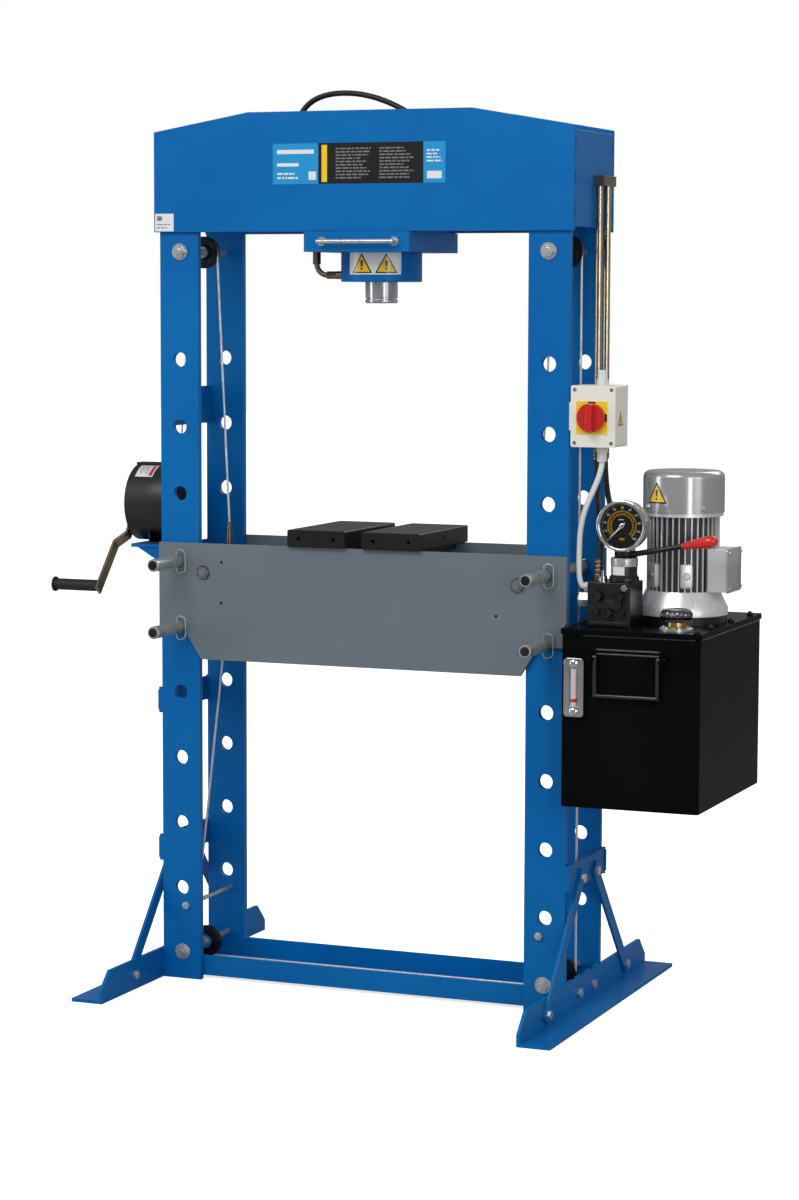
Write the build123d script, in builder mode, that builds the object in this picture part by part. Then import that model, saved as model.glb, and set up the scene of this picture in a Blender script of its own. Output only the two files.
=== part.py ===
"""Hydraulic shop press: a two-column frame, a winch-lifted bed on four pins and a motor pump unit.

Millimetres, +Z up. +X is the pump side, -Y is the operator's side. Pieces are drawn about the
middle of the frame, and save() puts the origin on the floor under the middle of the whole machine.
"""
from build123d import *
import math
import os

os.makedirs("parts", exist_ok=True)

# %% driving dimensions
gap_half = 391              # half the clear width between the columns
upright_w = 94              # width of each flat-bar upright
upright_t = 15              # its thickness
depth_half = 125            # half the depth over the uprights
upright_top = 1880          # top of the uprights, inside the head
hole_r = 16.5               # bed pin holes
hole_first = 210            # height of the lowest pin hole
hole_pitch = 150
hole_count = 9

plate_t = 10                # head and bed plates
head_over = 10              # how far the head reaches past the uprights
head_cover = 187            # how far it reaches down over them
head_end_rise = 34          # its ends stand this far above them
head_mid_rise = 74          # and its middle this far
head_flat_half = 264        # half the flat part of the head's top edge
rail_t = 12                 # rails that carry the cylinder carriage
rail_w = 20

foot_half = 428             # half the length of a foot
foot_flange = 75
foot_leg = 68
foot_t = 8
tie_t = 8
brace_w = 30
brace_t = 6

sheave_in = 2               # a sheave's centre is this far in from the middle of a column
sheave_drop = 43            # and the top pair this far below the head
sheave_low_z = 62
sheave_pitch_r = 32         # radius of the rope's centre line on a sheave
sheave_rim_r = 36
sheave_w = 14
axle_r = 7.0
rope_r = 2.4
run_clear = 0.05            # radial clearance of running fits
gap = 0.3                   # clearance between pieces that slide past each other

bed_over = 1                # how far the bed plates reach past the uprights
bed_above_pin = 40          # bed top above the centre of the upper pin holes
bed_depth = 262
bed_end_depth = 197
bed_gap = 1.0               # play between the bed plates and the uprights
lug_in = 16                 # rope lugs, in from the columns
lug_drop = 66               # and down from the bed top
upper_hole = 5              # the pin hole, counted from zero, that holds the upper pins

pin_r = 14
pin_drop = 2.0              # a pin rests this far below its hole's centre
pin_front = 262
pin_rear = 152

block_w = 138
block_h = 38
block_half = 146
block_left_x = -95
block_right_x = 83

carriage_half = 125
carriage_y = 147
carriage_h = 44
barrel_r = 90
barrel_bore = 75
barrel_drop = 109           # how far the barrel hangs below the head
barrel_len = 266
ram_r = 36
ram_out = 47                # how far the ram shows at rest

drum_y = 0
drum_z = 1080
drum_r = 28
gear_module = 2.0
gear_teeth = 58
pinion_teeth = 12
gear_t = 12
crank_len = 170
crank_turn = 42             # degrees that the crank leans forward from straight down
winch_cover_r = 88
winch_shaft_r = 9
pinion_shaft_r = 8

tank_gap = 13               # between the uprights and the tank
tank_w = 305
tank_y = (-200, 270)
tank_z = (473, 842)
tank_wall = 4
lid_t = 12
motor_in = 195              # motor axis from the near side of the tank
motor_y = 35
motor_r = 72
motor_h = 239               # from the lid to the fan cowl
cowl_r = 88
cowl_h = 89
cowl_shoulder = 14
valve_in = 104              # valve axis from the near side of the tank
valve_y = -95
block_rise = 94             # height of the valve block
gauge_y = -132
gauge_r = 53

box_w = 100
box_y = (-130, -58)
box_z = (1235, 1366)

# %% values that follow from them
out = gap_half + upright_w
left = -out - tie_t         # the face that the winch is bolted to
inner_y = depth_half - upright_t
column_x = gap_half + upright_w / 2
head_half = out + head_over
head_bottom = upright_top - head_cover
head_end_top = upright_top + head_end_rise
head_mid_top = upright_top + head_mid_rise
sheave_x = column_x - sheave_in
sheave_top_z = head_bottom - sheave_drop
barrel_bottom = head_bottom - barrel_drop
barrel_top = barrel_bottom + barrel_len
ram_bottom = barrel_bottom - ram_out
tank_x = (out + tank_gap, out + tank_gap + tank_w)
motor_x = tank_x[0] + motor_in
valve_x = tank_x[0] + valve_in
gauge_x = valve_x + 4
box_x = (out + 5, out + 5 + box_w)
lid_z = tank_z[1] + lid_t
cowl_z = (lid_z + motor_h, lid_z + motor_h + cowl_h)
gauge_z = lid_z + 216
holes_z = [hole_first + hole_pitch * k for k in range(hole_count)]
pin_x = column_x
pin_low_z = holes_z[upper_hole - 1] - pin_drop
pin_high_z = holes_z[upper_hole] - pin_drop
bed_half = out + bed_over
bed_top = holes_z[upper_hole] + bed_above_pin
bed_bottom = bed_top - bed_depth
bed_end_bottom = bed_top - bed_end_depth
lug_x = gap_half - lug_in
lug_z = bed_top - lug_drop
gear_r = gear_module * gear_teeth / 2
pinion_r = gear_module * pinion_teeth / 2
centre_distance = gear_r + pinion_r
pinion_y = drum_y - centre_distance * math.sin(math.radians(35))
pinion_z = drum_z - centre_distance * math.cos(math.radians(35))
bed_front = depth_half + bed_gap
hub_z = lid_z + 146
lever_rise = 10.8
lever_rod = 134
lever_grip = 64
lever_tip = valve_x + 12 + (lever_rod + lever_grip) * math.cos(math.radians(lever_rise))
grip_end = left - 251
origin_x = (lever_tip + grip_end) / 2 + 1.4


# %% helpers
def bar(x, y, z, mode=Mode.ADD):
    """A box from its lowest and highest x, y and z."""
    with Locations(((x[0] + x[1]) / 2, (y[0] + y[1]) / 2, (z[0] + z[1]) / 2)):
        Box(x[1] - x[0], y[1] - y[0], z[1] - z[0], mode=mode)


def rod_x(x, y, z, r, mode=Mode.ADD):
    """A round bar along X from x[0] to x[1]."""
    with Locations(((x[0] + x[1]) / 2, y, z)):
        Cylinder(r, x[1] - x[0], rotation=(0, 90, 0), mode=mode)


def rod_y(x, y, z, r, mode=Mode.ADD):
    """A round bar along Y from y[0] to y[1]."""
    with Locations((x, (y[0] + y[1]) / 2, z)):
        Cylinder(r, y[1] - y[0], rotation=(90, 0, 0), mode=mode)


def rod_z(x, y, z, r, mode=Mode.ADD):
    """A round bar along Z from z[0] to z[1]."""
    with Locations((x, y, (z[0] + z[1]) / 2)):
        Cylinder(r, z[1] - z[0], mode=mode)


def hexagon(plane, across, height):
    """A hexagonal head or nut that stands on a plane."""
    with BuildSketch(plane) as outline:
        RegularPolygon(across / math.sqrt(3), 6)
    extrude(outline.sketch, amount=height)


def facing_y(x, y, z, way):
    """A plane on a front or back face; way is -1 where it faces the operator and +1 at the back."""
    return Plane(origin=(x, y, z), x_dir=(1, 0, 0), z_dir=(0, way, 0))


def save(builder, label, at=(0, 0, 0)):
    """Name a finished piece, put it in its place and write it out."""
    placed = builder.part.moved(Location((at[0] - origin_x, at[1], at[2])))
    placed.label = label
    export_step(placed, f"parts/{label}.step")


def tangent(centre, r, point, side):
    """Where a line from a point touches a circle, both in the XZ plane; side is +1 or -1."""
    dx = point[0] - centre[0]
    dz = point[1] - centre[1]
    far = math.hypot(dx, dz)
    angle = math.atan2(dz, dx) + side * math.acos(r / far)
    return (centre[0] + r * math.cos(angle), centre[1] + r * math.sin(angle), math.degrees(angle))


def hose(points, r):
    """A tube along straight runs joined by arcs, as it is held between two fittings."""
    radii = []
    for a, b, c in zip(points, points[1:], points[2:]):
        first = Vector(*b) - Vector(*a)
        second = Vector(*c) - Vector(*b)
        turn = math.radians(first.get_angle(second))
        short = min(first.length, second.length)
        radii.append(0.45 * short / math.tan(max(turn, 0.02) / 2))
    with BuildLine() as route:
        FilletPolyline(*points, radius=radii)
    with BuildSketch(Plane(origin=points[0], z_dir=Vector(*points[1]) - Vector(*points[0]))) as section:
        Circle(r)
    sweep(section.sketch, path=route.wires()[0])


# %% columns
keeper_x = sheave_x - 10
keeper_z = sheave_low_z + 108
with BuildPart() as uprights:
    for side in (-1, 1):
        for face in (-1, 1):
            mid = face * (depth_half - upright_t / 2)
            with Locations((side * column_x, mid, upright_top / 2)):
                Box(upright_w, upright_t, upright_top)
            for z in holes_z:
                rod_y(side * column_x, (mid - 20, mid + 20), z, hole_r, mode=Mode.SUBTRACT)
            for z in (sheave_top_z, sheave_low_z):
                rod_y(side * sheave_x, (mid - 20, mid + 20), z, axle_r, mode=Mode.SUBTRACT)
            rod_y(side * keeper_x, (mid - 20, mid + 20), keeper_z, 5, mode=Mode.SUBTRACT)
save(uprights, "uprights")

tie_heights = ((272, 328), (612, 666))
tie_bolt_y = 48
tie_bolt_z = 290
foot_bolt_z = 34
brace_foot_y = 268
with BuildPart() as column_ties:
    for side in (-1, 1):
        x = sorted((side * (out - 10), side * (out - 2)))
        bar(x, (-inner_y, inner_y), (1260, 1345))
        x = sorted((side * out, side * (out + tie_t)))
        for z in tie_heights:
            bar(x, (-depth_half, depth_half), z)
        for y in (-tie_bolt_y, tie_bolt_y):
            rod_x((x[0] - 5, x[1] + 5), y, tie_bolt_z, 6, mode=Mode.SUBTRACT)
save(column_ties, "column_ties")

# %% base
channel_y = inner_y - 2
channel_z = (8, 54)
channel_t = 6
with BuildPart() as base_channel:
    bar((-out, out), (-channel_y, channel_y), channel_z)
    bar((-out + channel_t, out - channel_t), (-channel_y + channel_t, channel_y - channel_t),
        (channel_z[0] + channel_t, channel_z[1] + 10), mode=Mode.SUBTRACT)
    for side in (-1, 1):
        for y in (-tie_bolt_y, tie_bolt_y):
            x = sorted((side * (out - channel_t - 5), side * (out + 5)))
            rod_x(x, y, foot_bolt_z, 6, mode=Mode.SUBTRACT)
save(base_channel, "base_channel")

with BuildPart() as feet:
    for side in (-1, 1):
        leg = Plane(origin=(side * out, 0, 0), x_dir=(0, 1, 0), z_dir=(side, 0, 0))
        with BuildSketch(leg):
            with BuildLine():
                sign = 1 if side > 0 else -1
                Polyline(
                    (-foot_half, 0), (foot_half, 0),
                    (foot_half, sign * 26), (foot_half - 42, sign * foot_leg),
                    (-foot_half + 42, sign * foot_leg), (-foot_half, sign * 26), close=True,
                )
            make_face()
        extrude(amount=foot_t)
        bar(sorted((side * out, side * (out + foot_flange))), (-foot_half, foot_half), (0, foot_t))
        x = sorted((side * (out - 5), side * (out + foot_t + 5)))
        for y in (-brace_foot_y, -tie_bolt_y, tie_bolt_y, brace_foot_y):
            rod_x(x, y, foot_bolt_z, 6, mode=Mode.SUBTRACT)
save(feet, "feet")

with BuildPart() as braces:
    rise = tie_bolt_z - foot_bolt_z
    reach = brace_foot_y - tie_bolt_y
    for side in (-1, 1):
        for face in (-1, 1):
            brace_x = side * (out + tie_t + brace_t / 2)
            middle = (brace_x, face * (tie_bolt_y + reach / 2), foot_bolt_z + rise / 2)
            lean = math.degrees(math.atan2(reach, rise))
            with Locations(Location(middle, (face * lean, 0, 0))):
                Box(brace_t, brace_w, math.hypot(rise, reach) + 30)
            for y, z in ((tie_bolt_y, tie_bolt_z), (brace_foot_y, foot_bolt_z)):
                x = sorted((side * (out + 2), side * (out + 20)))
                rod_x(x, face * y, z, 6, mode=Mode.SUBTRACT)
save(braces, "braces")

with BuildPart() as frame_bolts:
    for side in (-1, 1):
        for face in (-1, 1):
            spots = (
                (tie_bolt_y, tie_bolt_z, out, out + tie_t + brace_t),
                (brace_foot_y, foot_bolt_z, out, out + foot_t + brace_t),
                (tie_bolt_y, foot_bolt_z, out - channel_t, out + foot_t),
            )
            for y, z, a, b in spots:
                rod_x(sorted((side * (a - 8), side * (b + 7))), face * y, z, 6)
                for start, way in ((b, side), (a, -side)):
                    face_at = Plane(origin=(side * start, face * y, z), x_dir=(0, 1, 0), z_dir=(way, 0, 0))
                    hexagon(face_at, 19, 7)
        rod_y(side * keeper_x, (-depth_half - 9, depth_half + 9), keeper_z, 5)
        for face in (-1, 1):
            hexagon(facing_y(side * keeper_x, face * depth_half, keeper_z, face), 16, 6.5)
        for z in (sheave_top_z, sheave_low_z):
            rod_y(side * sheave_x, (-depth_half - 12, depth_half + 12), z, axle_r)
            for face in (-1, 1):
                hexagon(facing_y(side * sheave_x, face * depth_half, z, face), 24, 9)
                y = sorted((face * (sheave_w / 2 + gap), face * (sheave_w / 2 + 6)))
                rod_y(side * sheave_x, y, z, 13)
save(frame_bolts, "frame_bolts")

# %% head
with BuildPart() as head_plates:
    for y in (-depth_half, depth_half + plate_t):
        with BuildSketch(Plane.XZ.offset(-y)):
            with BuildLine():
                Polyline(
                    (-head_half, head_bottom), (head_half, head_bottom), (head_half, head_end_top),
                    (head_flat_half, head_mid_top), (-head_flat_half, head_mid_top),
                    (-head_half, head_end_top), close=True,
                )
            make_face()
        extrude(amount=plate_t)
save(head_plates, "head_plates")

with BuildPart() as head_end_plates:
    for side in (-1, 1):
        x = sorted((side * out, side * head_half))
        bar(x, (-depth_half, depth_half), (head_bottom + 8, head_end_top - 9))
save(head_end_plates, "head_end_plates")

with BuildPart() as head_rails:
    for face in (-1, 1):
        y = sorted((face * (depth_half - rail_w), face * depth_half))
        bar((-gap_half, gap_half), y, (head_bottom, head_bottom + rail_t))
save(head_rails, "head_rails")

# %% sheaves
def sheave(label, x, z):
    """A rope sheave: hub, dished web and grooved rim, turned about Y."""
    with BuildPart() as wheel:
        with BuildSketch(Plane.XY):
            with BuildLine():
                groove = sheave_pitch_r - rope_r - 0.4
                Polyline(
                    (axle_r + run_clear, -sheave_w / 2), (16, -sheave_w / 2), (18, -3), (25, -3),
                    (27, -sheave_w / 2), (sheave_rim_r, -sheave_w / 2), (sheave_rim_r, -4.4), (groove, -1.6),
                    (groove, 1.6), (sheave_rim_r, 4.4), (sheave_rim_r, sheave_w / 2), (27, sheave_w / 2),
                    (25, 3), (18, 3), (16, sheave_w / 2), (axle_r + run_clear, sheave_w / 2), close=True,
                )
            make_face()
        revolve(axis=Axis.Y)
    save(wheel, label, (x, 0, z))


sheave("sheave_top_left", -sheave_x, sheave_top_z)
sheave("sheave_top_right", sheave_x, sheave_top_z)
sheave("sheave_low_left", -sheave_x, sheave_low_z)
sheave("sheave_low_right", sheave_x, sheave_low_z)

# %% lift ropes
socket_top = bed_top + 40
socket_low = lug_z - 54
fall_left = tangent((-sheave_x, sheave_top_z), sheave_pitch_r, (-lug_x, socket_top + gap), 1)
fall_right = tangent((sheave_x, sheave_top_z), sheave_pitch_r, (lug_x, socket_top + gap), -1)
fall_low = tangent((-sheave_x, sheave_low_z), sheave_pitch_r, (-lug_x, socket_low - gap), 1)


def rope_line(start, end):
    """A straight stretch of rope between two points in space."""
    way = Vector(*end) - Vector(*start)
    with BuildSketch(Plane(origin=start, z_dir=way)) as section:
        Circle(rope_r)
    extrude(section.sketch, amount=way.length)


def rope_arc(centre, start, sweep_angle):
    """Rope round a sheave in the XZ plane, from an angle in degrees and through another."""
    first = math.radians(start)
    point = (centre[0] + sheave_pitch_r * math.cos(first), centre[1] + sheave_pitch_r * math.sin(first))
    across = Plane(origin=(point[0], 0, point[1]), z_dir=(-math.sin(first), 0, math.cos(first)))
    with BuildSketch(across) as section:
        Circle(rope_r)
    revolve(section.sketch, axis=Axis((centre[0], 0, centre[1]), (0, -1, 0)), revolution_arc=sweep_angle)


drum_rope = (left - 27, drum_r + rope_r + gap, drum_z)
winch_side = tangent((-sheave_x, sheave_top_z), sheave_pitch_r, (drum_rope[0], drum_z), -1)
low_level = sheave_low_z - sheave_pitch_r
right_run = sheave_x + sheave_pitch_r
with BuildPart() as lift_ropes:
    rope_line(drum_rope, (winch_side[0], 0, winch_side[1]))
    rope_arc((-sheave_x, sheave_top_z), fall_left[2], winch_side[2] % 360 - fall_left[2])
    rope_arc((-sheave_x, sheave_low_z), fall_low[2], 270 - fall_low[2])
    rope_line((-sheave_x, 0, low_level), (sheave_x, 0, low_level))
    rope_arc((sheave_x, sheave_low_z), -90, 90)
    rope_line((right_run, 0, sheave_low_z), (right_run, 0, sheave_top_z))
    rope_arc((sheave_x, sheave_top_z), 0, fall_right[2] + 360)
save(lift_ropes, "lift_ropes")

with BuildPart() as rope_falls:
    rope_line((-lug_x, 0, socket_top + gap), (fall_left[0], 0, fall_left[1]))
    rope_line((lug_x, 0, socket_top + gap), (fall_right[0], 0, fall_right[1]))
    rope_line((-lug_x, 0, socket_low - gap), (fall_low[0], 0, fall_low[1]))
save(rope_falls, "rope_falls")

# %% winch
cover_x = (left - 106, left - 55)
winch_bar_x = (left - 110, left - 56)
shelf_z = (980, 988)
with BuildPart() as winch_bracket:
    bar((-out - tie_t, -out), (-depth_half, depth_half), (930, shelf_z[1]))
    bar((left - 97, -out - tie_t), (-72, 76), shelf_z)
    for y in (-66, 70):
        with BuildSketch(Plane.XZ.offset(-y)):
            with BuildLine():
                Polyline((left, 932), (left, shelf_z[0]), (left - 82, shelf_z[0]), close=True)
            make_face()
        extrude(amount=3, both=True)
save(winch_bracket, "winch_bracket")

plate_left = (left - 55, left - 51)
plate_right = (left - 7, left - 3)
with BuildPart() as winch_frame:
    bar((plate_left[0], plate_right[1]), (-66, 60), (shelf_z[1], shelf_z[1] + 4))
    for x in (plate_left, plate_right):
        with BuildSketch(Plane(origin=(x[0], 0, 0), x_dir=(0, 1, 0), z_dir=(1, 0, 0))):
            with BuildLine():
                Polyline(
                    (-66, shelf_z[1]), (60, shelf_z[1]), (48, drum_z + 60), (-40, drum_z + 60),
                    (-66, drum_z - 30), close=True,
                )
            make_face()
        extrude(amount=x[1] - x[0])
        rod_x((x[0] - 2, x[1] + 2), pinion_y, pinion_z, pinion_shaft_r + run_clear, mode=Mode.SUBTRACT)
    rod_x((plate_left[0] - 2, plate_left[1] + 2), drum_y, drum_z, 17, mode=Mode.SUBTRACT)
    rod_x((left - 79, left + 3), drum_y, drum_z, winch_shaft_r)
    for y in (-34, 41):
        rod_x((plate_left[0], plate_right[1]), y, drum_z + 48, 5)
save(winch_frame, "winch_frame")

with BuildPart() as winch_cover:
    rod_x(cover_x, drum_y, drum_z, winch_cover_r)
    rod_x((cover_x[0] + 2, cover_x[1]), drum_y, drum_z, winch_cover_r - 2, mode=Mode.SUBTRACT)
    rod_x((cover_x[0] - 2, cover_x[0] + 4), pinion_y, pinion_z, pinion_shaft_r + 1, mode=Mode.SUBTRACT)
    bar(winch_bar_x, (-16, 16), (drum_z + winch_cover_r - 3, drum_z + winch_cover_r + 3))
save(winch_cover, "winch_cover")


def toothed(teeth, phase):
    """The outline of a gear with straight-flanked teeth, in the current sketch."""
    radius = gear_module * teeth / 2
    points = []
    for k in range(teeth):
        middle = phase + 360 * k / teeth
        for r, half in ((-1.1, 0.30), (0.8, 0.15)):
            points.append((radius + r * gear_module, middle - 360 / teeth * half))
        for r, half in ((0.8, 0.15), (-1.1, 0.30)):
            points.append((radius + r * gear_module, middle + 360 / teeth * half))
    with BuildLine() as outline:
        corners = [(r * math.cos(math.radians(a)), r * math.sin(math.radians(a))) for r, a in points]
        Polyline(*corners, close=True)
    make_face(outline.edges())


mesh_angle = math.degrees(math.atan2(pinion_z - drum_z, pinion_y - drum_y))
gear_x = (left - 70, left - 58)
with BuildPart() as winch_drum:
    with BuildSketch(Plane(origin=(gear_x[0], drum_y, drum_z), x_dir=(0, 1, 0), z_dir=(1, 0, 0))):
        toothed(gear_teeth, mesh_angle)
    extrude(amount=gear_x[1] - gear_x[0])
    rod_x((gear_x[1] - 1, left - 10), drum_y, drum_z, 16)
    rod_x((left - 48, left - 10), drum_y, drum_z, drum_r)
    for x in ((left - 48, left - 45), (left - 13, left - 10)):
        rod_x(x, drum_y, drum_z, 48)
    rod_x((left - 77, left - 7), drum_y, drum_z, winch_shaft_r + run_clear, mode=Mode.SUBTRACT)
save(winch_drum, "winch_drum")

with BuildPart() as winch_pinion:
    with BuildSketch(Plane(origin=(gear_x[0] - 1, pinion_y, pinion_z), x_dir=(0, 1, 0), z_dir=(1, 0, 0))):
        toothed(pinion_teeth, mesh_angle + 180 + 180 / pinion_teeth)
    extrude(amount=gear_x[1] - gear_x[0] + 2)
    rod_x((left - 120, left + 3), pinion_y, pinion_z, pinion_shaft_r)
    rod_x((left - 2.5, left + 3), pinion_y, pinion_z, 12)
save(winch_pinion, "winch_pinion")

lean = math.radians(crank_turn)
crank_end = (pinion_y - crank_len * math.sin(lean), pinion_z - crank_len * math.cos(lean))
arm_normal = (0, math.cos(lean), -math.sin(lean))
arm_plane = Plane(origin=(0, pinion_y, pinion_z), x_dir=(1, 0, 0), z_dir=arm_normal)
stud_r = 7
with BuildPart() as crank:
    with BuildSketch(arm_plane):
        with BuildLine():
            Polyline(
                (left - 116, -16), (left - 110, -16), (left - 110, 24), (left - 132, 50),
                (left - 132, crank_len + 14), (left - 138, crank_len + 14),
                (left - 138, 48), (left - 116, 22), close=True,
            )
        make_face()
    extrude(amount=12.5, both=True)
    rod_x((left - 122, left - 107), pinion_y, pinion_z, pinion_shaft_r, mode=Mode.SUBTRACT)
    rod_x((left - 245, left - 132), crank_end[0], crank_end[1], stud_r)
save(crank, "crank")

with BuildPart() as crank_grip:
    rod_x((grip_end, left - 140), crank_end[0], crank_end[1], 13)
    rod_x((grip_end, grip_end + 5), crank_end[0], crank_end[1], 17)
    rod_x((left - 245.5, left - 140), crank_end[0], crank_end[1], stud_r + run_clear, mode=Mode.SUBTRACT)
save(crank_grip, "crank_grip")

# %% bed
bed_shoulder = pin_x - 15
bed_low_half = gap_half - 9
pin_bore = pin_r + 0.6
with BuildPart() as bed_plates:
    for y in (-bed_front, bed_front + plate_t):
        with BuildSketch(Plane.XZ.offset(-y)):
            with BuildLine():
                Polyline(
                    (-bed_half, bed_top), (bed_half, bed_top), (bed_half, bed_end_bottom),
                    (bed_shoulder, bed_end_bottom), (bed_low_half, bed_bottom), (-bed_low_half, bed_bottom),
                    (-bed_shoulder, bed_end_bottom), (-bed_half, bed_end_bottom), close=True,
                )
            make_face()
            for side in (-1, 1):
                with Locations((side * pin_x, pin_high_z)):
                    Circle(pin_bore + 0.6, mode=Mode.SUBTRACT)
                with Locations((side * pin_x, pin_low_z)):
                    Circle(pin_r + gap, mode=Mode.SUBTRACT)
                with Locations((side * pin_x, (bed_end_bottom + pin_low_z) / 2 - 5)):
                    Rectangle(2 * (pin_r + gap), pin_low_z - bed_end_bottom + 10, mode=Mode.SUBTRACT)
                with Locations((side * lug_x, lug_z)):
                    Circle(8, mode=Mode.SUBTRACT)
        extrude(amount=plate_t)
save(bed_plates, "bed_plates")

with BuildPart() as bed_spacers:
    for side in (-1, 1):
        x = sorted((side * (lug_x - 51), side * (lug_x - 39)))
        bar(x, (-bed_front, bed_front), (bed_top - 150, bed_top - 20))
        rod_y(side * lug_x, (-bed_front, bed_front), lug_z, 14)
        rod_y(side * lug_x, (-bed_front - plate_t - 8, bed_front + plate_t + 8), lug_z, 8)
        for face in (-1, 1):
            hexagon(facing_y(side * lug_x, face * (bed_front + plate_t), lug_z, face), 24, 5)
save(bed_spacers, "bed_spacers")


def socket(x, start, end):
    """A swaged rope end: a tapered sleeve along Z from its lug to its mouth."""
    way = 1 if end > start else -1
    with BuildSketch(Plane(origin=(x, 0, start), z_dir=(0, 0, way))) as root:
        Circle(9)
    with BuildSketch(Plane(origin=(x, 0, end), z_dir=(0, 0, way))) as mouth:
        Circle(5)
    loft([root.sketch.face(), mouth.sketch.face()])


with BuildPart() as rope_sockets:
    for side in (-1, 1):
        socket(side * lug_x, lug_z + 14, socket_top)
    socket(-lug_x, lug_z - 14, socket_low)
save(rope_sockets, "rope_sockets")

clip_y = -bed_front - plate_t - 9
clip_high = 30              # half the height of a D clip
clip_wide = 22
clip_wire = 1.5


def bed_pin(name, x, z):
    """One bed pin with the D-shaped wire clip that goes through it."""
    with BuildPart() as pin:
        rod_y(x, (-pin_front, pin_rear), z, pin_r)
        chamfer(pin.edges().filter_by(GeomType.CIRCLE), 1.5)
        rod_z(x, clip_y, (z - 20, z + 20), clip_wire + 0.2, mode=Mode.SUBTRACT)
        rod_z(x, clip_y, (z - clip_high + 9, z + clip_high - 9), clip_wire)
        corners = [(x, z + 3), (x, z + clip_high), (x + clip_wide, z + clip_high - 8),
                   (x + clip_wide, z - clip_high + 8), (x, z - clip_high), (x, z - 3)]
        with BuildLine() as bend:
            FilletPolyline(*[(a, clip_y, b) for a, b in corners], radius=8)
        with BuildSketch(Plane(origin=(x, clip_y, z + 3), z_dir=(0, 0, 1))) as wire:
            Circle(clip_wire)
        sweep(wire.sketch, path=bend.wires()[0])
    save(pin, f"pin_{name}")


bed_pin("high_left", -pin_x, pin_high_z)
bed_pin("low_left", -pin_x, pin_low_z)
bed_pin("high_right", pin_x, pin_high_z)
bed_pin("low_right", pin_x, pin_low_z)


def press_block(label, x):
    """A press block with two cross feet that sit between the bed plates."""
    low = bed_top + gap
    with BuildPart() as block:
        bar((x - block_w / 2, x + block_w / 2), (-block_half, block_half), (low, low + block_h))
        chamfer(block.edges().filter_by(Axis.Y), 2)
        for side in (-1, 1):
            bar((x + side * 45 - 7, x + side * 45 + 7), (-118, 118), (low - 15, low))
            for y in ((-block_half - 1, -block_half + 22), (block_half - 22, block_half + 1)):
                rod_y(x + side * 42, y, low + block_h / 2, 4, mode=Mode.SUBTRACT)
        rod_x((x + block_w / 2 - 20, x + block_w / 2 + 1), 0, low + block_h / 2, 4, mode=Mode.SUBTRACT)
    save(block, label)


press_block("press_block_left", block_left_x)
press_block("press_block_right", block_right_x)

# %% cylinder carriage
carriage_top = head_bottom - gap
carriage_z = (carriage_top - carriage_h, carriage_top)
rail_inner = depth_half - rail_w
with BuildPart() as carriage:
    bar((-carriage_half, carriage_half), (-carriage_y, carriage_y), carriage_z)
    chamfer(carriage.edges().filter_by(Axis.Z), 3)
    neck = rail_inner - gap
    bar((-carriage_half, carriage_half), (-neck, neck), (carriage_top, head_bottom + rail_t + gap))
    grip = depth_half - 3
    lip_z = (head_bottom + rail_t + gap, head_bottom + rail_t + 15)
    bar((-carriage_half, carriage_half), (-grip, grip), lip_z)
    rod_z(0, 0, (carriage_z[0] - 5, head_bottom + rail_t + 20), barrel_r, mode=Mode.SUBTRACT)
save(carriage, "carriage")

handle_z = head_bottom - 22
with BuildPart() as carriage_handle:
    rod_x((-85, 96), -carriage_y - 19, handle_z, 5)
    for x in (-80, 91):
        rod_y(x, (-carriage_y - 19, -carriage_y), handle_z, 5)
        rod_y(x, (-carriage_y - 3, -carriage_y), handle_z, 10)
save(carriage_handle, "carriage_handle")

gland_t = 20
with BuildPart() as cylinder_barrel:
    rod_z(0, 0, (barrel_bottom, barrel_top), barrel_r)
    rod_z(0, 0, (barrel_bottom + gland_t, barrel_top - 20), barrel_bore, mode=Mode.SUBTRACT)
    rod_z(0, 0, (barrel_bottom - 1, barrel_bottom + gland_t + 1), ram_r + run_clear, mode=Mode.SUBTRACT)
    chamfer(cylinder_barrel.edges().group_by(Axis.Z)[0].sort_by(SortBy.RADIUS)[-1], 2)
    with Locations((50, 30, barrel_top + 12)):
        Cylinder(11, 24)
save(cylinder_barrel, "cylinder_barrel")

with BuildPart() as ram:
    rod_z(0, 0, (ram_bottom, barrel_top - 26), ram_r)
    rod_z(0, 0, (barrel_top - 50, barrel_top - 24), barrel_bore - run_clear)
    chamfer(ram.edges().group_by(Axis.Z)[0], 2)
    with BuildSketch(Plane.XZ):
        with Locations((ram_r, ram_bottom + 10)):
            Rectangle(4, 4)
    revolve(axis=Axis.Z, mode=Mode.SUBTRACT)
save(ram, "ram")

elbow_x = -barrel_r - 67
elbow_z = barrel_bottom + 15
elbow_top = head_bottom + 7
tube_r = 6
with BuildPart() as elbow_tube:
    hose([(elbow_x, 0, elbow_top), (elbow_x, 0, elbow_z), (-barrel_r - 8, 0, elbow_z)], tube_r)
    hexagon(Plane((elbow_x, 0, elbow_z + 24)), 17, 27)
    hexagon(Plane((elbow_x, 0, elbow_top - 18)), 22, 18)
    hexagon(Plane(origin=(-barrel_r - 40, 0, elbow_z), x_dir=(0, 1, 0), z_dir=(1, 0, 0)), 17, 22)
    rod_x((-barrel_r - 18, -barrel_r + 0.2), 0, elbow_z, 9)
    rod_z(0, 0, (barrel_bottom - 50, barrel_top), barrel_r, mode=Mode.SUBTRACT)
save(elbow_tube, "elbow_tube")

# %% pipes along the head
hose_r = 6.25
riser_x = out + 20
riser_y = (6, 60)
manifold_z = head_bottom + 107
riser_z = (1255, manifold_z - 10)
with BuildPart() as riser_tubes:
    for y in riser_y:
        rod_z(riser_x, y, riser_z, 7.5)
save(riser_tubes, "riser_tubes")

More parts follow.
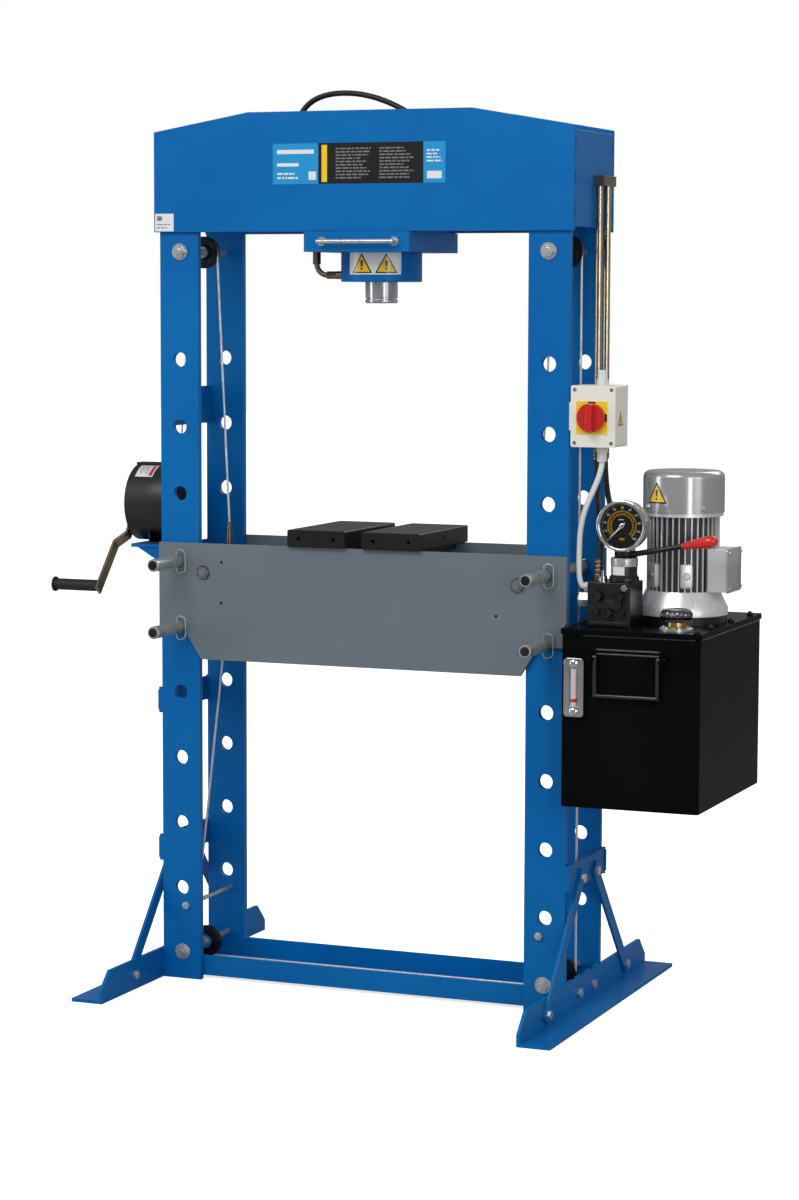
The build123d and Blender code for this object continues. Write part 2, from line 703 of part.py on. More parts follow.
valve_block_x = (tank_x[0] + 34, tank_x[0] + 130)
block_fit = ((valve_block_x[0] + 11, -92), (valve_block_x[0] + 40, -50))
with BuildPart() as hose_fittings:
    bar((head_half, riser_x + 15), (riser_y[0] - 14, riser_y[1] + 14), (riser_z[1], riser_z[1] + 22))
    for y in riser_y:
        rod_x((out - 23, out), y, manifold_z, 11)
        rod_z(riser_x, y, (riser_z[0] - 30, riser_z[0]), 9)
    for x, y in block_fit:
        hexagon(Plane((x, y, lid_z + block_rise)), 19, 14)
        rod_z(x, y, (lid_z + block_rise + 14, lid_z + block_rise + 22), 8)
save(hose_fittings, "hose_fittings")

with BuildPart() as cylinder_hoses:
    hose(
        [(out - 23, 6, manifold_z), (255, 6, manifold_z), (20, 2, 2000), (-208, 0, 2000), (-208, 0, 1800),
         (elbow_x, 0, 1745), (elbow_x, 0, elbow_top + 1)],
        hose_r,
    )
    hose(
        [(out - 23, 60, manifold_z), (300, 60, manifold_z), (130, 45, 1915), (50, 30, 1915),
         (50, 30, barrel_top + 24.5)],
        hose_r,
    )
save(cylinder_hoses, "cylinder_hoses")

# %% pump unit
bail_z = tank_z[1] - 44
bail_y = -212
bail_x = (tank_x[0] + 79, tank_x[0] + 217)
bail_r = 4.5
with BuildPart() as tank:
    bar(tank_x, tank_y, tank_z)
    fillet(tank.edges().filter_by(Axis.Z), 8)
    inner_x = (tank_x[0] + tank_wall, tank_x[1] - tank_wall)
    inner_t = (tank_y[0] + tank_wall, tank_y[1] - tank_wall)
    bar(inner_x, inner_t, (tank_z[0] + tank_wall, tank_z[1] + 1), mode=Mode.SUBTRACT)
    bar((out + tie_t, tank_x[0]), (-110, 110), tie_heights[1])
    bar((out, tank_x[0]), (-depth_half, depth_half), (tank_z[1] - 62, tank_z[1] - 22))
    for x in (bail_x[0] - 10, bail_x[1] + 10):
        bar((x - 4, x + 4), (bail_y - 10, tank_y[0]), (bail_z - 10, bail_z + 10))
        rod_x((x - 6, x + 6), bail_y, bail_z, bail_r + run_clear, mode=Mode.SUBTRACT)
save(tank, "tank")

with BuildPart() as tank_bail:
    for x in bail_x:
        rod_z(x, bail_y, (bail_z - 82, bail_z), bail_r)
    rod_x(bail_x, bail_y, bail_z - 82, bail_r)
    for side, x in zip((-1, 1), bail_x):
        rod_x(sorted((x, x + side * 16)), bail_y, bail_z, bail_r)
        with Locations((x, bail_y, bail_z - 82), (x, bail_y, bail_z)):
            Sphere(bail_r)
save(tank_bail, "tank_bail")

filler_x = tank_x[0] + 235
filler_y = -140
with BuildPart() as tank_lid:
    bar((tank_x[0] - 3, tank_x[1] + 3), (tank_y[0] - 3, tank_y[1] + 3), (tank_z[1], lid_z))
    fillet(tank_lid.edges().filter_by(Axis.Z), 8)
    rod_z(filler_x, filler_y, (lid_z, lid_z + 5), 32)
    rod_z(filler_x, filler_y, (lid_z + 5, lid_z + 14), 21)
    rod_z(filler_x, filler_y, (tank_z[1] - 1, lid_z + 20), 18, mode=Mode.SUBTRACT)
    rod_z(motor_x, motor_y, (tank_z[1] - 1, lid_z + 1), 30, mode=Mode.SUBTRACT)
save(tank_lid, "tank_lid")

with BuildPart() as filler_cap:
    rod_z(filler_x, filler_y, (lid_z + 14 + gap, lid_z + 46), 27)
    chamfer(filler_cap.edges().group_by(Axis.Z)[-1], 2)
    rod_z(filler_x, filler_y, (lid_z - 6, lid_z + 15), 17)
save(filler_cap, "filler_cap")

lid_bolt_x = (tank_x[0] + 10, tank_x[1] - 10)
lid_bolt_y = (-188, -90, 66, 216)
with BuildPart() as lid_bolts:
    for x in lid_bolt_x:
        for y in lid_bolt_y:
            hexagon(Plane((x, y, lid_z)), 13, 6)
            rod_z(x, y, (lid_z + 5, lid_z + 9), 4)
save(lid_bolts, "lid_bolts")

level_x = (tank_x[0] + 10, tank_x[0] + 54)
level_z = (tank_z[1] - 174, tank_z[1] - 49)
with BuildPart() as level_gauge:
    bar(level_x, (tank_y[0] - 12, tank_y[0]), level_z)
    fillet(level_gauge.edges().filter_by(Axis.Y), 8)
    window = (level_x[0] + 12, level_x[1] - 12)
    bar(window, (tank_y[0] - 13, tank_y[0] - 8), (level_z[0] + 22, level_z[1] - 22), mode=Mode.SUBTRACT)
save(level_gauge, "level_gauge")

shaft_r = 12
motor_z = (lid_z + 18, cowl_z[0])
with BuildPart() as motor_body:
    rod_z(motor_x, motor_y, (lid_z, lid_z + 18), 95)
    rod_z(motor_x, motor_y, (motor_z[0], motor_z[0] + 14), 98)
    with Locations((motor_x, motor_y, motor_z[0] + 14 + 19)):
        Cone(98, 80, 38)
    rod_z(motor_x, motor_y, (motor_z[0] + 50, motor_z[1]), motor_r)
    with Locations((motor_x, motor_y, (motor_z[0] + 50 + motor_z[1]) / 2)):
        with PolarLocations(motor_r + 2, 36):
            Box(9, 2.6, motor_z[1] - motor_z[0] - 50)
    rod_z(motor_x, motor_y, (motor_z[1] - 8, motor_z[1] + 6), cowl_r - 2)
    rod_z(motor_x, motor_y, (lid_z - 1, motor_z[1] + 10), shaft_r + run_clear, mode=Mode.SUBTRACT)
    terminals = (motor_x + motor_r - 2, motor_x + motor_r + 40)
    bar(terminals, (motor_y - 50, motor_y + 50), (lid_z + 71, lid_z + 162))
save(motor_body, "motor_body")

with BuildPart() as motor_cowl:
    rod_z(motor_x, motor_y, cowl_z, cowl_r)
    fillet(motor_cowl.edges().group_by(Axis.Z)[-1], cowl_shoulder)
    rod_z(motor_x, motor_y, (cowl_z[0] - 1, cowl_z[1] - cowl_shoulder), cowl_r - 2, mode=Mode.SUBTRACT)
    inner_r = cowl_r - cowl_shoulder
    rod_z(motor_x, motor_y, (cowl_z[1] - cowl_shoulder - 1, cowl_z[1] - 2.5), inner_r, mode=Mode.SUBTRACT)
    for ring, count in ((20, 8), (34, 14), (48, 20), (62, 26)):
        with Locations((motor_x, motor_y, cowl_z[1])):
            with PolarLocations(ring, count):
                Cylinder(3.2, 20, mode=Mode.SUBTRACT)
save(motor_cowl, "motor_cowl")

with BuildPart() as motor_fan:
    rod_z(motor_x, motor_y, (lid_z - 19, cowl_z[1] - 20), shaft_r)
    rod_z(motor_x, motor_y, (cowl_z[0] + 20, cowl_z[0] + 60), 22)
    with Locations((motor_x, motor_y, cowl_z[0] + 40)):
        with PolarLocations(44, 8):
            Box(50, 3, 38)
    rod_z(motor_x, motor_y, (cowl_z[0] + 18, cowl_z[0] + 22), 68)
save(motor_fan, "motor_fan")

with BuildPart() as pump:
    rod_z(motor_x, motor_y, (tank_z[1] - 42, tank_z[1]), 45)
    rod_z(motor_x, motor_y, (tank_z[1] - 142, tank_z[1] - 42), 38)
    rod_z(motor_x + 20, motor_y, (tank_z[0] + 47, tank_z[1] - 142), 8)
    rod_z(motor_x + 20, motor_y, (tank_z[0] + 27, tank_z[0] + 57), 24)
    rod_z(motor_x, motor_y, (lid_z - 24, tank_z[1] + 1), shaft_r + run_clear, mode=Mode.SUBTRACT)
save(pump, "pump")

valve_z = (lid_z, lid_z + block_rise)
plug_y = -100
with BuildPart() as valve_block:
    bar(valve_block_x, (-134, -42), valve_z)
    chamfer(valve_block.edges().filter_by(Axis.Z), 3)
    hexagon(Plane(origin=(valve_block_x[0], plug_y, lid_z + 54), x_dir=(0, 1, 0), z_dir=(-1, 0, 0)), 28, 28)
    rod_x((valve_block_x[0] - 16, valve_block_x[0]), plug_y, lid_z + 81, 8)
save(valve_block, "valve_block")

with BuildPart() as lever_valve:
    rod_z(valve_x, valve_y, (valve_z[1], hub_z), 28)
    chamfer(lever_valve.edges().group_by(Axis.Z)[-1], 2)
    rod_z(valve_x, valve_y, (hub_z, hub_z + 13), 8)
save(lever_valve, "lever_valve")

with BuildPart() as valve_lever:
    rod_z(valve_x, valve_y, (hub_z + gap, hub_z + 12), 17)
    lever_way = (math.cos(math.radians(lever_rise)), 0, math.sin(math.radians(lever_rise)))
    with BuildSketch(Plane(origin=(valve_x + 12, valve_y, hub_z + 6), z_dir=lever_way)):
        Circle(5)
    extrude(amount=lever_rod)
    grip_start = Vector(valve_x + 12, valve_y, hub_z + 6) + Vector(*lever_way) * lever_rod
    grip_stop = grip_start + Vector(*lever_way) * lever_grip
    with BuildSketch(Plane(origin=grip_start, z_dir=lever_way)):
        Circle(9)
    with BuildSketch(Plane(origin=grip_stop, z_dir=lever_way)):
        Circle(14)
    loft()
    rod_z(valve_x, valve_y, (hub_z - 1, hub_z + 14), 8 + run_clear, mode=Mode.SUBTRACT)
save(valve_lever, "valve_lever")

pipe_y = -54
with BuildPart() as gauge_body:
    rod_y(gauge_x, (gauge_y, gauge_y + 34), gauge_z, gauge_r)
    rod_y(gauge_x, (gauge_y - 1, gauge_y + 7), gauge_z, gauge_r - 5, mode=Mode.SUBTRACT)
    rod_y(gauge_x, (gauge_y + 4, gauge_y + 20), gauge_z, 1.5 + run_clear, mode=Mode.SUBTRACT)
    rod_y(gauge_x, (gauge_y + 34, pipe_y), gauge_z, 7)
    rod_z(gauge_x, pipe_y, (valve_z[1], gauge_z), 7)
    with Locations((gauge_x, pipe_y, gauge_z)):
        Sphere(9)
    hexagon(Plane((gauge_x, pipe_y, valve_z[1])), 19, 10)
save(gauge_body, "gauge_body")

needle_low = 45             # the needle rests this far round from straight down
with BuildPart() as gauge_needle:
    rod_y(gauge_x, (gauge_y + 3, gauge_y + 16), gauge_z, 1.5)
    rod_y(gauge_x, (gauge_y + 3, gauge_y + 5), gauge_z, 5)
    low = math.radians(needle_low)
    needle_side = (math.cos(low), 0, -math.sin(low))
    with BuildSketch(Plane(origin=(gauge_x, gauge_y + 5, gauge_z), x_dir=needle_side, z_dir=(0, -1, 0))):
        with BuildLine():
            Polyline((-1.6, 9), (1.6, 9), (2.2, 0), (0.6, -37), (-0.6, -37), (-2.2, 0), close=True)
        make_face()
    extrude(amount=1)
save(gauge_needle, "gauge_needle")

with BuildPart() as pump_hoses:
    hose(
        [(riser_x, riser_y[0], 1224), (riser_x, riser_y[0], 1150), (532, -60, 1085), (549, -92, 1035),
         (*block_fit[0], lid_z + block_rise + 23)],
        hose_r,
    )
    hose(
        [(riser_x, riser_y[1], 1224), (riser_x, riser_y[1], 1140), (562, -30, 1065),
         (*block_fit[1], 1010), (*block_fit[1], lid_z + block_rise + 23)],
        hose_r,
    )
save(pump_hoses, "pump_hoses")

# %% motor switch
gland_x = box_x[0] + 58
gland_y = -90
with BuildPart() as switch_box:
    bar(box_x, (box_y[1], box_y[1] + 13), box_z)
    bar((out, box_x[0]), (-depth_half, box_y[1] + 13), (box_z[0] + 35, box_z[1] - 36))
save(switch_box, "switch_box")

knob_x = box_x[0] + 48
knob_z = box_z[0] + 63
with BuildPart() as switch_lid:
    bar(box_x, box_y, box_z)
    fillet(switch_lid.edges().filter_by(Axis.Y), 5)
    inside = ((box_x[0] + 3, box_x[1] - 3), (box_y[0] + 3, box_y[1] + 1), (box_z[0] + 3, box_z[1] - 3))
    bar(*inside, mode=Mode.SUBTRACT)
    bar((box_x[0] + 12, box_x[0] + 84), (box_y[0] - 1.5, box_y[0]), (box_z[0] + 27, box_z[0] + 98))
    rod_y(knob_x, (box_y[0] - 3, box_y[0] + 5), knob_z, 4 + run_clear, mode=Mode.SUBTRACT)
save(switch_lid, "switch_lid")

with BuildPart() as switch_knob:
    rod_y(knob_x, (box_y[0] - 12, box_y[0] - 2), knob_z, 31)
    bar((knob_x - 7, knob_x + 7), (box_y[0] - 26, box_y[0] - 12), (knob_z - 29, knob_z + 29))
    fillet(switch_knob.edges().filter_by(Axis.Y), 3)
    rod_y(knob_x, (box_y[0] - 5, box_y[0] + 14), knob_z, 4)
save(switch_knob, "switch_knob")

with BuildPart() as cable_glands:
    for base, way in ((box_z[1], 1), (box_z[0], -1)):
        hexagon(Plane(origin=(gland_x, gland_y, base), z_dir=(0, 0, way)), 24, 12)
        rod_z(gland_x, gland_y, sorted((base + way * 12, base + way * 32)), 10.5)
save(cable_glands, "cable_glands")

with BuildPart() as signal_cable:
    hose(
        [(gland_x, gland_y, box_z[0] - 32.5), (gland_x, gland_y, 1180), (505, -100, 1085), (501, -100, 990),
         (504, plug_y, 935), (valve_block_x[0] - 16.5, plug_y, lid_z + 81)],
        6.0,
    )
save(signal_cable, "signal_cable")
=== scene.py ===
# %% [markdown]
# # A hydraulic shop press
# The press is a tall frame of blue flat bar. A grey bed hangs between the columns on four
# pins, a hand winch lifts it by a wire rope, and a motor pump unit on the right feeds the
# cylinder in the head. The frame, its joints and its sizes are already made: this script
# loads them, and adds the finish of every surface and the small pieces that make it real.
# Lengths are in metres, +Z is up, +X is the pump side and -Y is the operator's side.

# %% Load the finished frame
import math

import bmesh
import bpy
import numpy as np
from mathutils import Matrix, Vector


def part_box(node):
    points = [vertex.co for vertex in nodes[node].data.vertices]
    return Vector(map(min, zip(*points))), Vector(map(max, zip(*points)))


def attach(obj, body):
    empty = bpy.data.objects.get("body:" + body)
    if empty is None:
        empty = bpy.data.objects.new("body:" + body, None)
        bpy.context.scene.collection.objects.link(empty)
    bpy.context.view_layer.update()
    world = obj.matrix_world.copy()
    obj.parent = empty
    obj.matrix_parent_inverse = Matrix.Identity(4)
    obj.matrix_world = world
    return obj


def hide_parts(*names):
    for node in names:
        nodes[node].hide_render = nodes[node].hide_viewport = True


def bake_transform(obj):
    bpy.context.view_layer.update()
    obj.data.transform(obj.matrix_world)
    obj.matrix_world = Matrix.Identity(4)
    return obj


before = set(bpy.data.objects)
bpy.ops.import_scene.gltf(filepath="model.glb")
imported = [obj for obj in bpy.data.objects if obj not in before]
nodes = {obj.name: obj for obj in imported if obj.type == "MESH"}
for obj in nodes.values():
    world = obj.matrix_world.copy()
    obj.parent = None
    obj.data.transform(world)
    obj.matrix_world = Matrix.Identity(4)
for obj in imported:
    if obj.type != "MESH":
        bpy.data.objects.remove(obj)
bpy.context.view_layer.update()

# %% [markdown]
# ## Camera
# The press is seen from the pump side and a little above, through a long lens, so that its
# columns stay nearly upright. The camera's three directions are worked out from how far it
# turns, tips and rolls, and are written straight into its matrix.

# %% The camera
eye = (2.5584, -6.2194, 1.5609)
turn, tip, roll = math.radians(22.27), math.radians(5.81), math.radians(0.17)
sight = Vector((-math.sin(turn) * math.cos(tip), math.cos(turn) * math.cos(tip), -math.sin(tip)))
level_right = Vector((math.cos(turn), math.sin(turn), 0))
level_up = level_right.cross(sight)
right = math.cos(roll) * level_right + math.sin(roll) * level_up
up = math.cos(roll) * level_up - math.sin(roll) * level_right

lens = bpy.data.cameras.new("camera")
lens.sensor_fit = "VERTICAL"
lens.sensor_height = 36
lens.lens = 90.66
camera = bpy.data.objects.new("camera", lens)
camera.matrix_world = Matrix.Translation(eye) @ Matrix((right, up, -sight)).transposed().to_4x4()
bpy.context.scene.collection.objects.link(camera)
bpy.context.scene.camera = camera
print("camera stands", round(math.dist(eye, (0, 0, 1)), 2), "m from the middle of the press")

# %% [markdown]
# ## Shapes from formulas
# Every new piece is a surface on a grid of points, or an outline carried along a line. The
# helpers below each return points and faces as arrays, so that several of them can go into
# one mesh. Working on whole arrays is quick, and the formula says plainly what the shape is.


# %% Grids of points and the faces between them
def grid_faces(rows, cols, wrap_rows=False):
    """Quads between neighbouring points of a grid whose columns close on themselves."""
    a, b = np.meshgrid(np.arange(rows if wrap_rows else rows - 1), np.arange(cols), indexing="ij")
    a2, b2 = (a + 1) % rows, (b + 1) % cols
    return np.stack([a * cols + b, a * cols + b2, a2 * cols + b2, a2 * cols + b], -1).reshape(-1, 4)


def skin(points, ends=True):
    """The faces of a grid of points, with each end ring closed by one flat face."""
    rows, cols = points.shape[:2]
    faces = grid_faces(rows, cols).tolist()
    if ends:
        faces.append(list(range(cols))[::-1])
        faces.append(list(range((rows - 1) * cols, rows * cols)))
    return points.reshape(-1, 3), faces


def axes_for(along):
    """Two directions at right angles to a third, all of length one."""
    w = np.array(along, float)
    w /= np.linalg.norm(w)
    side = np.array((0.0, 0.0, 1.0)) if abs(w[2]) < 0.9 else np.array((1.0, 0.0, 0.0))
    u = np.cross(side, w)
    u /= np.linalg.norm(u)
    return u, np.cross(w, u), w


def ways_round(along, sides):
    """The angles of a circle round a line, the direction at each angle, and the line's own."""
    u, v, w = axes_for(along)
    a = np.linspace(0, 2 * np.pi, sides, endpoint=False)
    return a, np.cos(a)[:, None] * u + np.sin(a)[:, None] * v, w


def turned(profile, at, along=(0, 0, 1), sides=48):
    """A turned piece: a profile of (radius, height) pairs goes round a line.

    Each point is at + height * along + radius * (cos a, sin a) in the plane across it.
    """
    across, w = ways_round(along, sides)[1:]
    r, h = np.array(profile, float).T
    smallest = 2e-5
    r = np.maximum(r, smallest)
    return skin(np.array(at, float) + h[:, None, None] * w + r[:, None, None] * across[None])


def ring_around(profile, at, along=(0, 0, 1), sides=48):
    """A ring: a closed profile of (radius, height) pairs goes round a line, as for a washer."""
    across, w = ways_round(along, sides)[1:]
    r, h = np.array(profile, float).T
    points = np.array(at, float) + h[:, None, None] * w + r[:, None, None] * across[None]
    return points.reshape(-1, 3), grid_faces(len(r), sides, wrap_rows=True).tolist()


def washer(at, along, inner, outer, thick, edge=0.0004, sides=40):
    """A flat ring with slightly rounded corners that stands on a plane."""
    profile = [(inner, 0), (outer, 0), (outer, thick - edge), (outer - edge, thick), (inner, thick)]
    return ring_around(profile, at, along, sides)


def hex_head(at, along, across, height, start=0.0):
    """A bolt head or nut: the radius of a hexagon, cut back near the top by a cone.

    A hexagon's radius at angle a is its half width over the cosine of the angle from the
    middle of the nearest flat. The cone cuts the corners off at 30 degrees.
    """
    a, ways, w = ways_round(along, 60)
    flat_side = across / 2 / np.cos((a + start) % (np.pi / 3) - np.pi / 6)
    h = height * np.array((0, 0.6, 0.75, 0.85, 0.92, 1.0, 1.0))
    cone = across / 2 * 0.96 + (height - h) / math.tan(math.radians(30))
    cone[-1] = across * 0.38
    r = np.minimum(flat_side[None], cone[:, None])
    return skin(np.array(at, float) + h[:, None, None] * w + r[..., None] * ways[None])


def frames_along(path):
    """Two cross directions at each point of a path that turn as little as they can.

    Each direction is the last one with its part along the path taken away.
    """
    way = np.gradient(path, axis=0)
    way /= np.linalg.norm(way, axis=1)[:, None]
    u = np.empty_like(path)
    u[0] = axes_for(way[0])[0]
    for k in range(1, len(path)):
        u[k] = u[k - 1] - way[k] * (u[k - 1] @ way[k])
        u[k] /= np.linalg.norm(u[k])
    return u, np.cross(way, u)


def tube(path, radius, sides=16, lobes=0, pitch=1.0, depth=0.0):
    """A round bar carried along a path. Lobes wind round it once in each pitch, as strands do.

    The radius at angle a, a distance s along, is radius - depth * (1 - |cos|) of half of
    lobes * (a - 2 pi s / pitch).
    """
    path = np.array(path, float)
    u, v = frames_along(path)
    a = np.linspace(0, 2 * np.pi, sides, endpoint=False)
    s = np.concatenate([[0], np.cumsum(np.linalg.norm(np.diff(path, axis=0), axis=1))])
    wave = np.abs(np.cos(lobes / 2 * (a[None] - 2 * np.pi * s[:, None] / pitch)))
    r = np.broadcast_to(np.asarray(radius, float).reshape(-1, 1), (len(path), 1)) - depth * (1 - wave)
    ring = np.cos(a)[None, :, None] * u[:, None] + np.sin(a)[None, :, None] * v[:, None]
    return skin(path[:, None] + r[..., None] * ring)


def rounded(width, height, radius, steps=6):
    """The outline of a rectangle with round corners, as points in a plane."""
    a = np.linspace(0, np.pi / 2, steps)
    corners = []
    for k, (sx, sy) in enumerate(((1, 1), (-1, 1), (-1, -1), (1, -1))):
        c = np.array((sx * (width / 2 - radius), sy * (height / 2 - radius)))
        b = a + k * np.pi / 2
        corners.append(c + radius * np.stack([np.cos(b), np.sin(b)], -1))
    return np.concatenate(corners)


def inset(outline, amount):
    """An outline moved inwards: each point goes along the middle of its two sides' normals."""
    before = outline - np.roll(outline, 1, axis=0)
    after = np.roll(outline, -1, axis=0) - outline
    n1 = np.stack([-before[:, 1], before[:, 0]], -1) / np.linalg.norm(before, axis=1)[:, None]
    n2 = np.stack([-after[:, 1], after[:, 0]], -1) / np.linalg.norm(after, axis=1)[:, None]
    middle = n1 + n2
    middle /= np.maximum((middle * middle).sum(1) / 2, 0.3)[:, None]
    return outline + amount * middle


def slab(outline, at, across, upward, thick, edge=0.0003):
    """A flat piece: an anticlockwise outline raised by its thickness, with its top edge rounded."""
    u = np.array(across, float)
    v = np.array(upward, float)
    w = np.cross(u, v)
    rows = [(0, 0), (0, thick - edge), (edge * 0.3, thick - edge * 0.3), (edge, thick)]
    rings = []
    for cut, h in rows:
        flat = inset(outline, cut) if cut else outline
        rings.append(np.array(at, float) + flat[:, :1] * u + flat[:, 1:] * v + h * w)
    return skin(np.array(rings))


def weld_bead(start, end, radius, seed):
    """A weld: a rod laid along a seam whose radius swells once for each drop of metal."""
    step = 0.0035
    start, end = np.array(start, float), np.array(end, float)
    count = max(8, int(np.linalg.norm(end - start) / (step / 4)))
    t = np.linspace(0, 1, count)
    rng = np.random.default_rng(seed)
    size = 1 + 0.16 * np.abs(np.sin(np.pi * t * np.linalg.norm(end - start) / step))
    size = size + np.convolve(rng.normal(0, 0.05, count), np.ones(9) / 9, "same")
    size *= np.clip(np.minimum(t, 1 - t) * 40, 0.2, 1)
    return tube(start + (end - start) * t[:, None], radius * size, 10)


# %% [markdown]
# A finished piece is one mesh, made from any number of the shapes above. Shared points are
# merged and the faces are turned outwards, then edges sharper than a given angle stay sharp
# while the rest are shaded smooth.


# %% Making a piece
SHARP = math.radians(35)


def piece(name, body, finish, *shapes, slot=None, ride=True):
    """One object from several (points, faces) shapes, riding on a body of the press."""
    points, faces, count = [], [], 0
    for p, f in shapes:
        points.append(p)
        faces.extend([[i + count for i in face] for face in f])
        count += len(p)
    mesh = bpy.data.meshes.new(name)
    mesh.from_pydata(np.concatenate(points), [], faces)
    work = bmesh.new()
    work.from_mesh(mesh)
    bmesh.ops.remove_doubles(work, verts=work.verts, dist=1e-6)
    bmesh.ops.recalc_face_normals(work, faces=work.faces)
    work.to_mesh(mesh)
    work.free()
    mesh.shade_smooth()
    mesh.set_sharp_from_angle(angle=SHARP)
    mesh.materials.append(finish)
    made = bpy.data.objects.new(name, mesh)
    bpy.context.scene.collection.objects.link(made)
    if ride:
        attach(made, body)
    return made


# %% [markdown]
# ## Finishes
# A finish is a small network of nodes. Written as sums it stays readable: the class below
# wraps one socket, and each operator on it adds the Math node that does that sum.


# %% Sums on sockets
class Reading:
    """One output in a finish's network. Adding or multiplying it adds a Math node."""

    def __init__(self, finish, socket):
        self.finish = finish
        self.socket = socket

    def math(self, operation, first, second=None):
        """A Math node on this network; each input is a number or another reading."""
        given = {0: first} if second is None else {0: first, 1: second}
        return self.finish.node("ShaderNodeMath", {"operation": operation}, given)

    def __add__(self, other):
        return self.math("ADD", self, other)

    __radd__ = __add__

    def __sub__(self, other):
        return self.math("SUBTRACT", self, other)

    def __rsub__(self, other):
        return self.math("SUBTRACT", other, self)

    def __mul__(self, other):
        return self.math("MULTIPLY", self, other)

    __rmul__ = __mul__

    def __pow__(self, other):
        return self.math("POWER", self, other)

    def between(self, low, high):
        """0 up to low, 1 from high on, and a smooth rise between them."""
        settings = {"interpolation_type": "SMOOTHSTEP"}
        return self.finish.node("ShaderNodeMapRange", settings, {0: self, 1: low, 2: high})


def tint(r, g, b):
    """A colour as it is seen on a screen, 0 to 255, turned into amounts of light."""
    c = np.array((r, g, b)) / 255
    light = np.where(c <= 0.04045, c / 12.92, ((c + 0.055) / 1.055) ** 2.4)
    return (*light.tolist(), 1.0)


class Finish:
    """A material and its network, which starts from the place of each point on the piece."""

    def __init__(self, name):
        self.material = bpy.data.materials.new(name)
        self.material.use_nodes = True
        self.tree = self.material.node_tree
        self.tree.nodes.clear()
        self.place = self.node("ShaderNodeTexCoord", out="Object")

    def node(self, kind, settings=None, sockets=None, out=0):
        """Any node: its settings are set first, then the values or links of its sockets."""
        made = self.tree.nodes.new(kind)
        for key, value in (settings or {}).items():
            setattr(made, key, value)
        for key, value in (sockets or {}).items():
            if isinstance(value, Reading):
                self.tree.links.new(value.socket, made.inputs[key])
            else:
                made.inputs[key].default_value = value
        return Reading(self, made.outputs[out])

    def noise(self, size, detail=3.0, stretch=None, roughness=0.55):
        """Cloudy noise from 0 to 1 whose blotches are about this size, in metres."""
        place = self.place
        if stretch:
            place = self.node("ShaderNodeMapping", None, {"Vector": place, "Scale": stretch})
        sockets = {"Vector": place, "Scale": 1 / size, "Detail": detail, "Roughness": roughness}
        return self.node("ShaderNodeTexNoise", None, sockets)

    def axis(self, name):
        """How far along X, Y or Z each point is, in metres."""
        return self.node("ShaderNodeSeparateXYZ", None, {0: self.place}, out=name)

    def blend(self, amount, first, second):
        """The first colour where the amount is 0 and the second where it is 1."""
        return self.node("ShaderNodeMix", {"data_type": "RGBA"}, {0: amount, 6: first, 7: second}, out=2)

    def bump(self, height, depth, strength=1.0):
        """A surface whose height varies by up to this depth, in metres."""
        return self.node("ShaderNodeBump", None, {"Height": height, "Distance": depth, "Strength": strength})

    def surface(self, **sockets):
        """The shader itself, with its sockets named as on the node, and the finished material."""
        shown = {key.replace("_", " "): value for key, value in sockets.items()}
        shader = self.node("ShaderNodeBsdfPrincipled", None, shown)
        output = self.tree.nodes.new("ShaderNodeOutputMaterial")
        self.tree.links.new(shader.socket, output.inputs["Surface"])
        return self.material


# %% [markdown]
# Powder paint on steel is a hard, slightly pebbled skin. Its colour is even, but it thins
# and lightens on sharp edges, and dust settles on it in soft patches. The pebbling is noise
# a few millimetres across; a much larger noise shifts the colour a little.


# %% Paint
def paint(name, colour, light, gloss, peel=0.00012, dust=0.10, shine=0.5, bend=1.5):
    """Powder paint: a base colour, a lighter cousin for patches and its roughness.

    Shine is how much it reflects head on, and bend is its index, which sets its edges.
    """
    f = Finish(name)
    patches = f.noise(0.35, 4)
    fine = f.noise(0.0035, 2)
    specks = f.noise(0.02, 6, roughness=0.7).between(0.66, 0.74)
    body = f.blend(patches.between(0.3, 0.75), tint(*colour), tint(*light))
    body = f.blend(specks * dust, body, tint(*[min(255, c + 60) for c in light]))
    rough = gloss + 0.10 * f.noise(0.06, 3) + 0.04 * fine
    skin_up = f.bump(f.noise(0.0042, 2) + 0.35 * f.noise(0.03, 2), peel)
    return f.surface(Base_Color=body, Roughness=rough, Normal=skin_up, Coat_Weight=0.2 * shine,
                     Coat_Roughness=0.2, Specular_IOR_Level=shine, IOR=bend)


blue_paint = paint("blue_paint", (0, 98, 170), (3, 108, 178), 0.30, dust=0.05, shine=0.14)
grey_paint = paint("grey_paint", (102, 113, 120), (110, 120, 127), 0.34, dust=0.05, shine=0.3)
tank_paint = paint("tank_paint", (9, 10, 11), (15, 16, 17), 0.16, peel=0.00006, dust=0.02, shine=0.12,
                   bend=1.16)
gloss_black = paint("gloss_black", (9, 10, 11), (15, 16, 17), 0.04, peel=0.00004, dust=0.0, shine=1.0)
block_paint = paint("block_paint", (20, 20, 22), (30, 29, 30), 0.34, peel=0.0001, shine=0.3)
cover_paint = paint("cover_paint", (17, 18, 20), (27, 28, 30), 0.36, peel=0.00022)

# %% [markdown]
# Bare and plated metals are all reflection, so what tells them apart is how sharp that
# reflection is and which way its fine lines run. Zinc plate is cloudy with crystals, turned
# steel has lines round it, drawn tube has lines along it and yellow zinc shifts in colour.


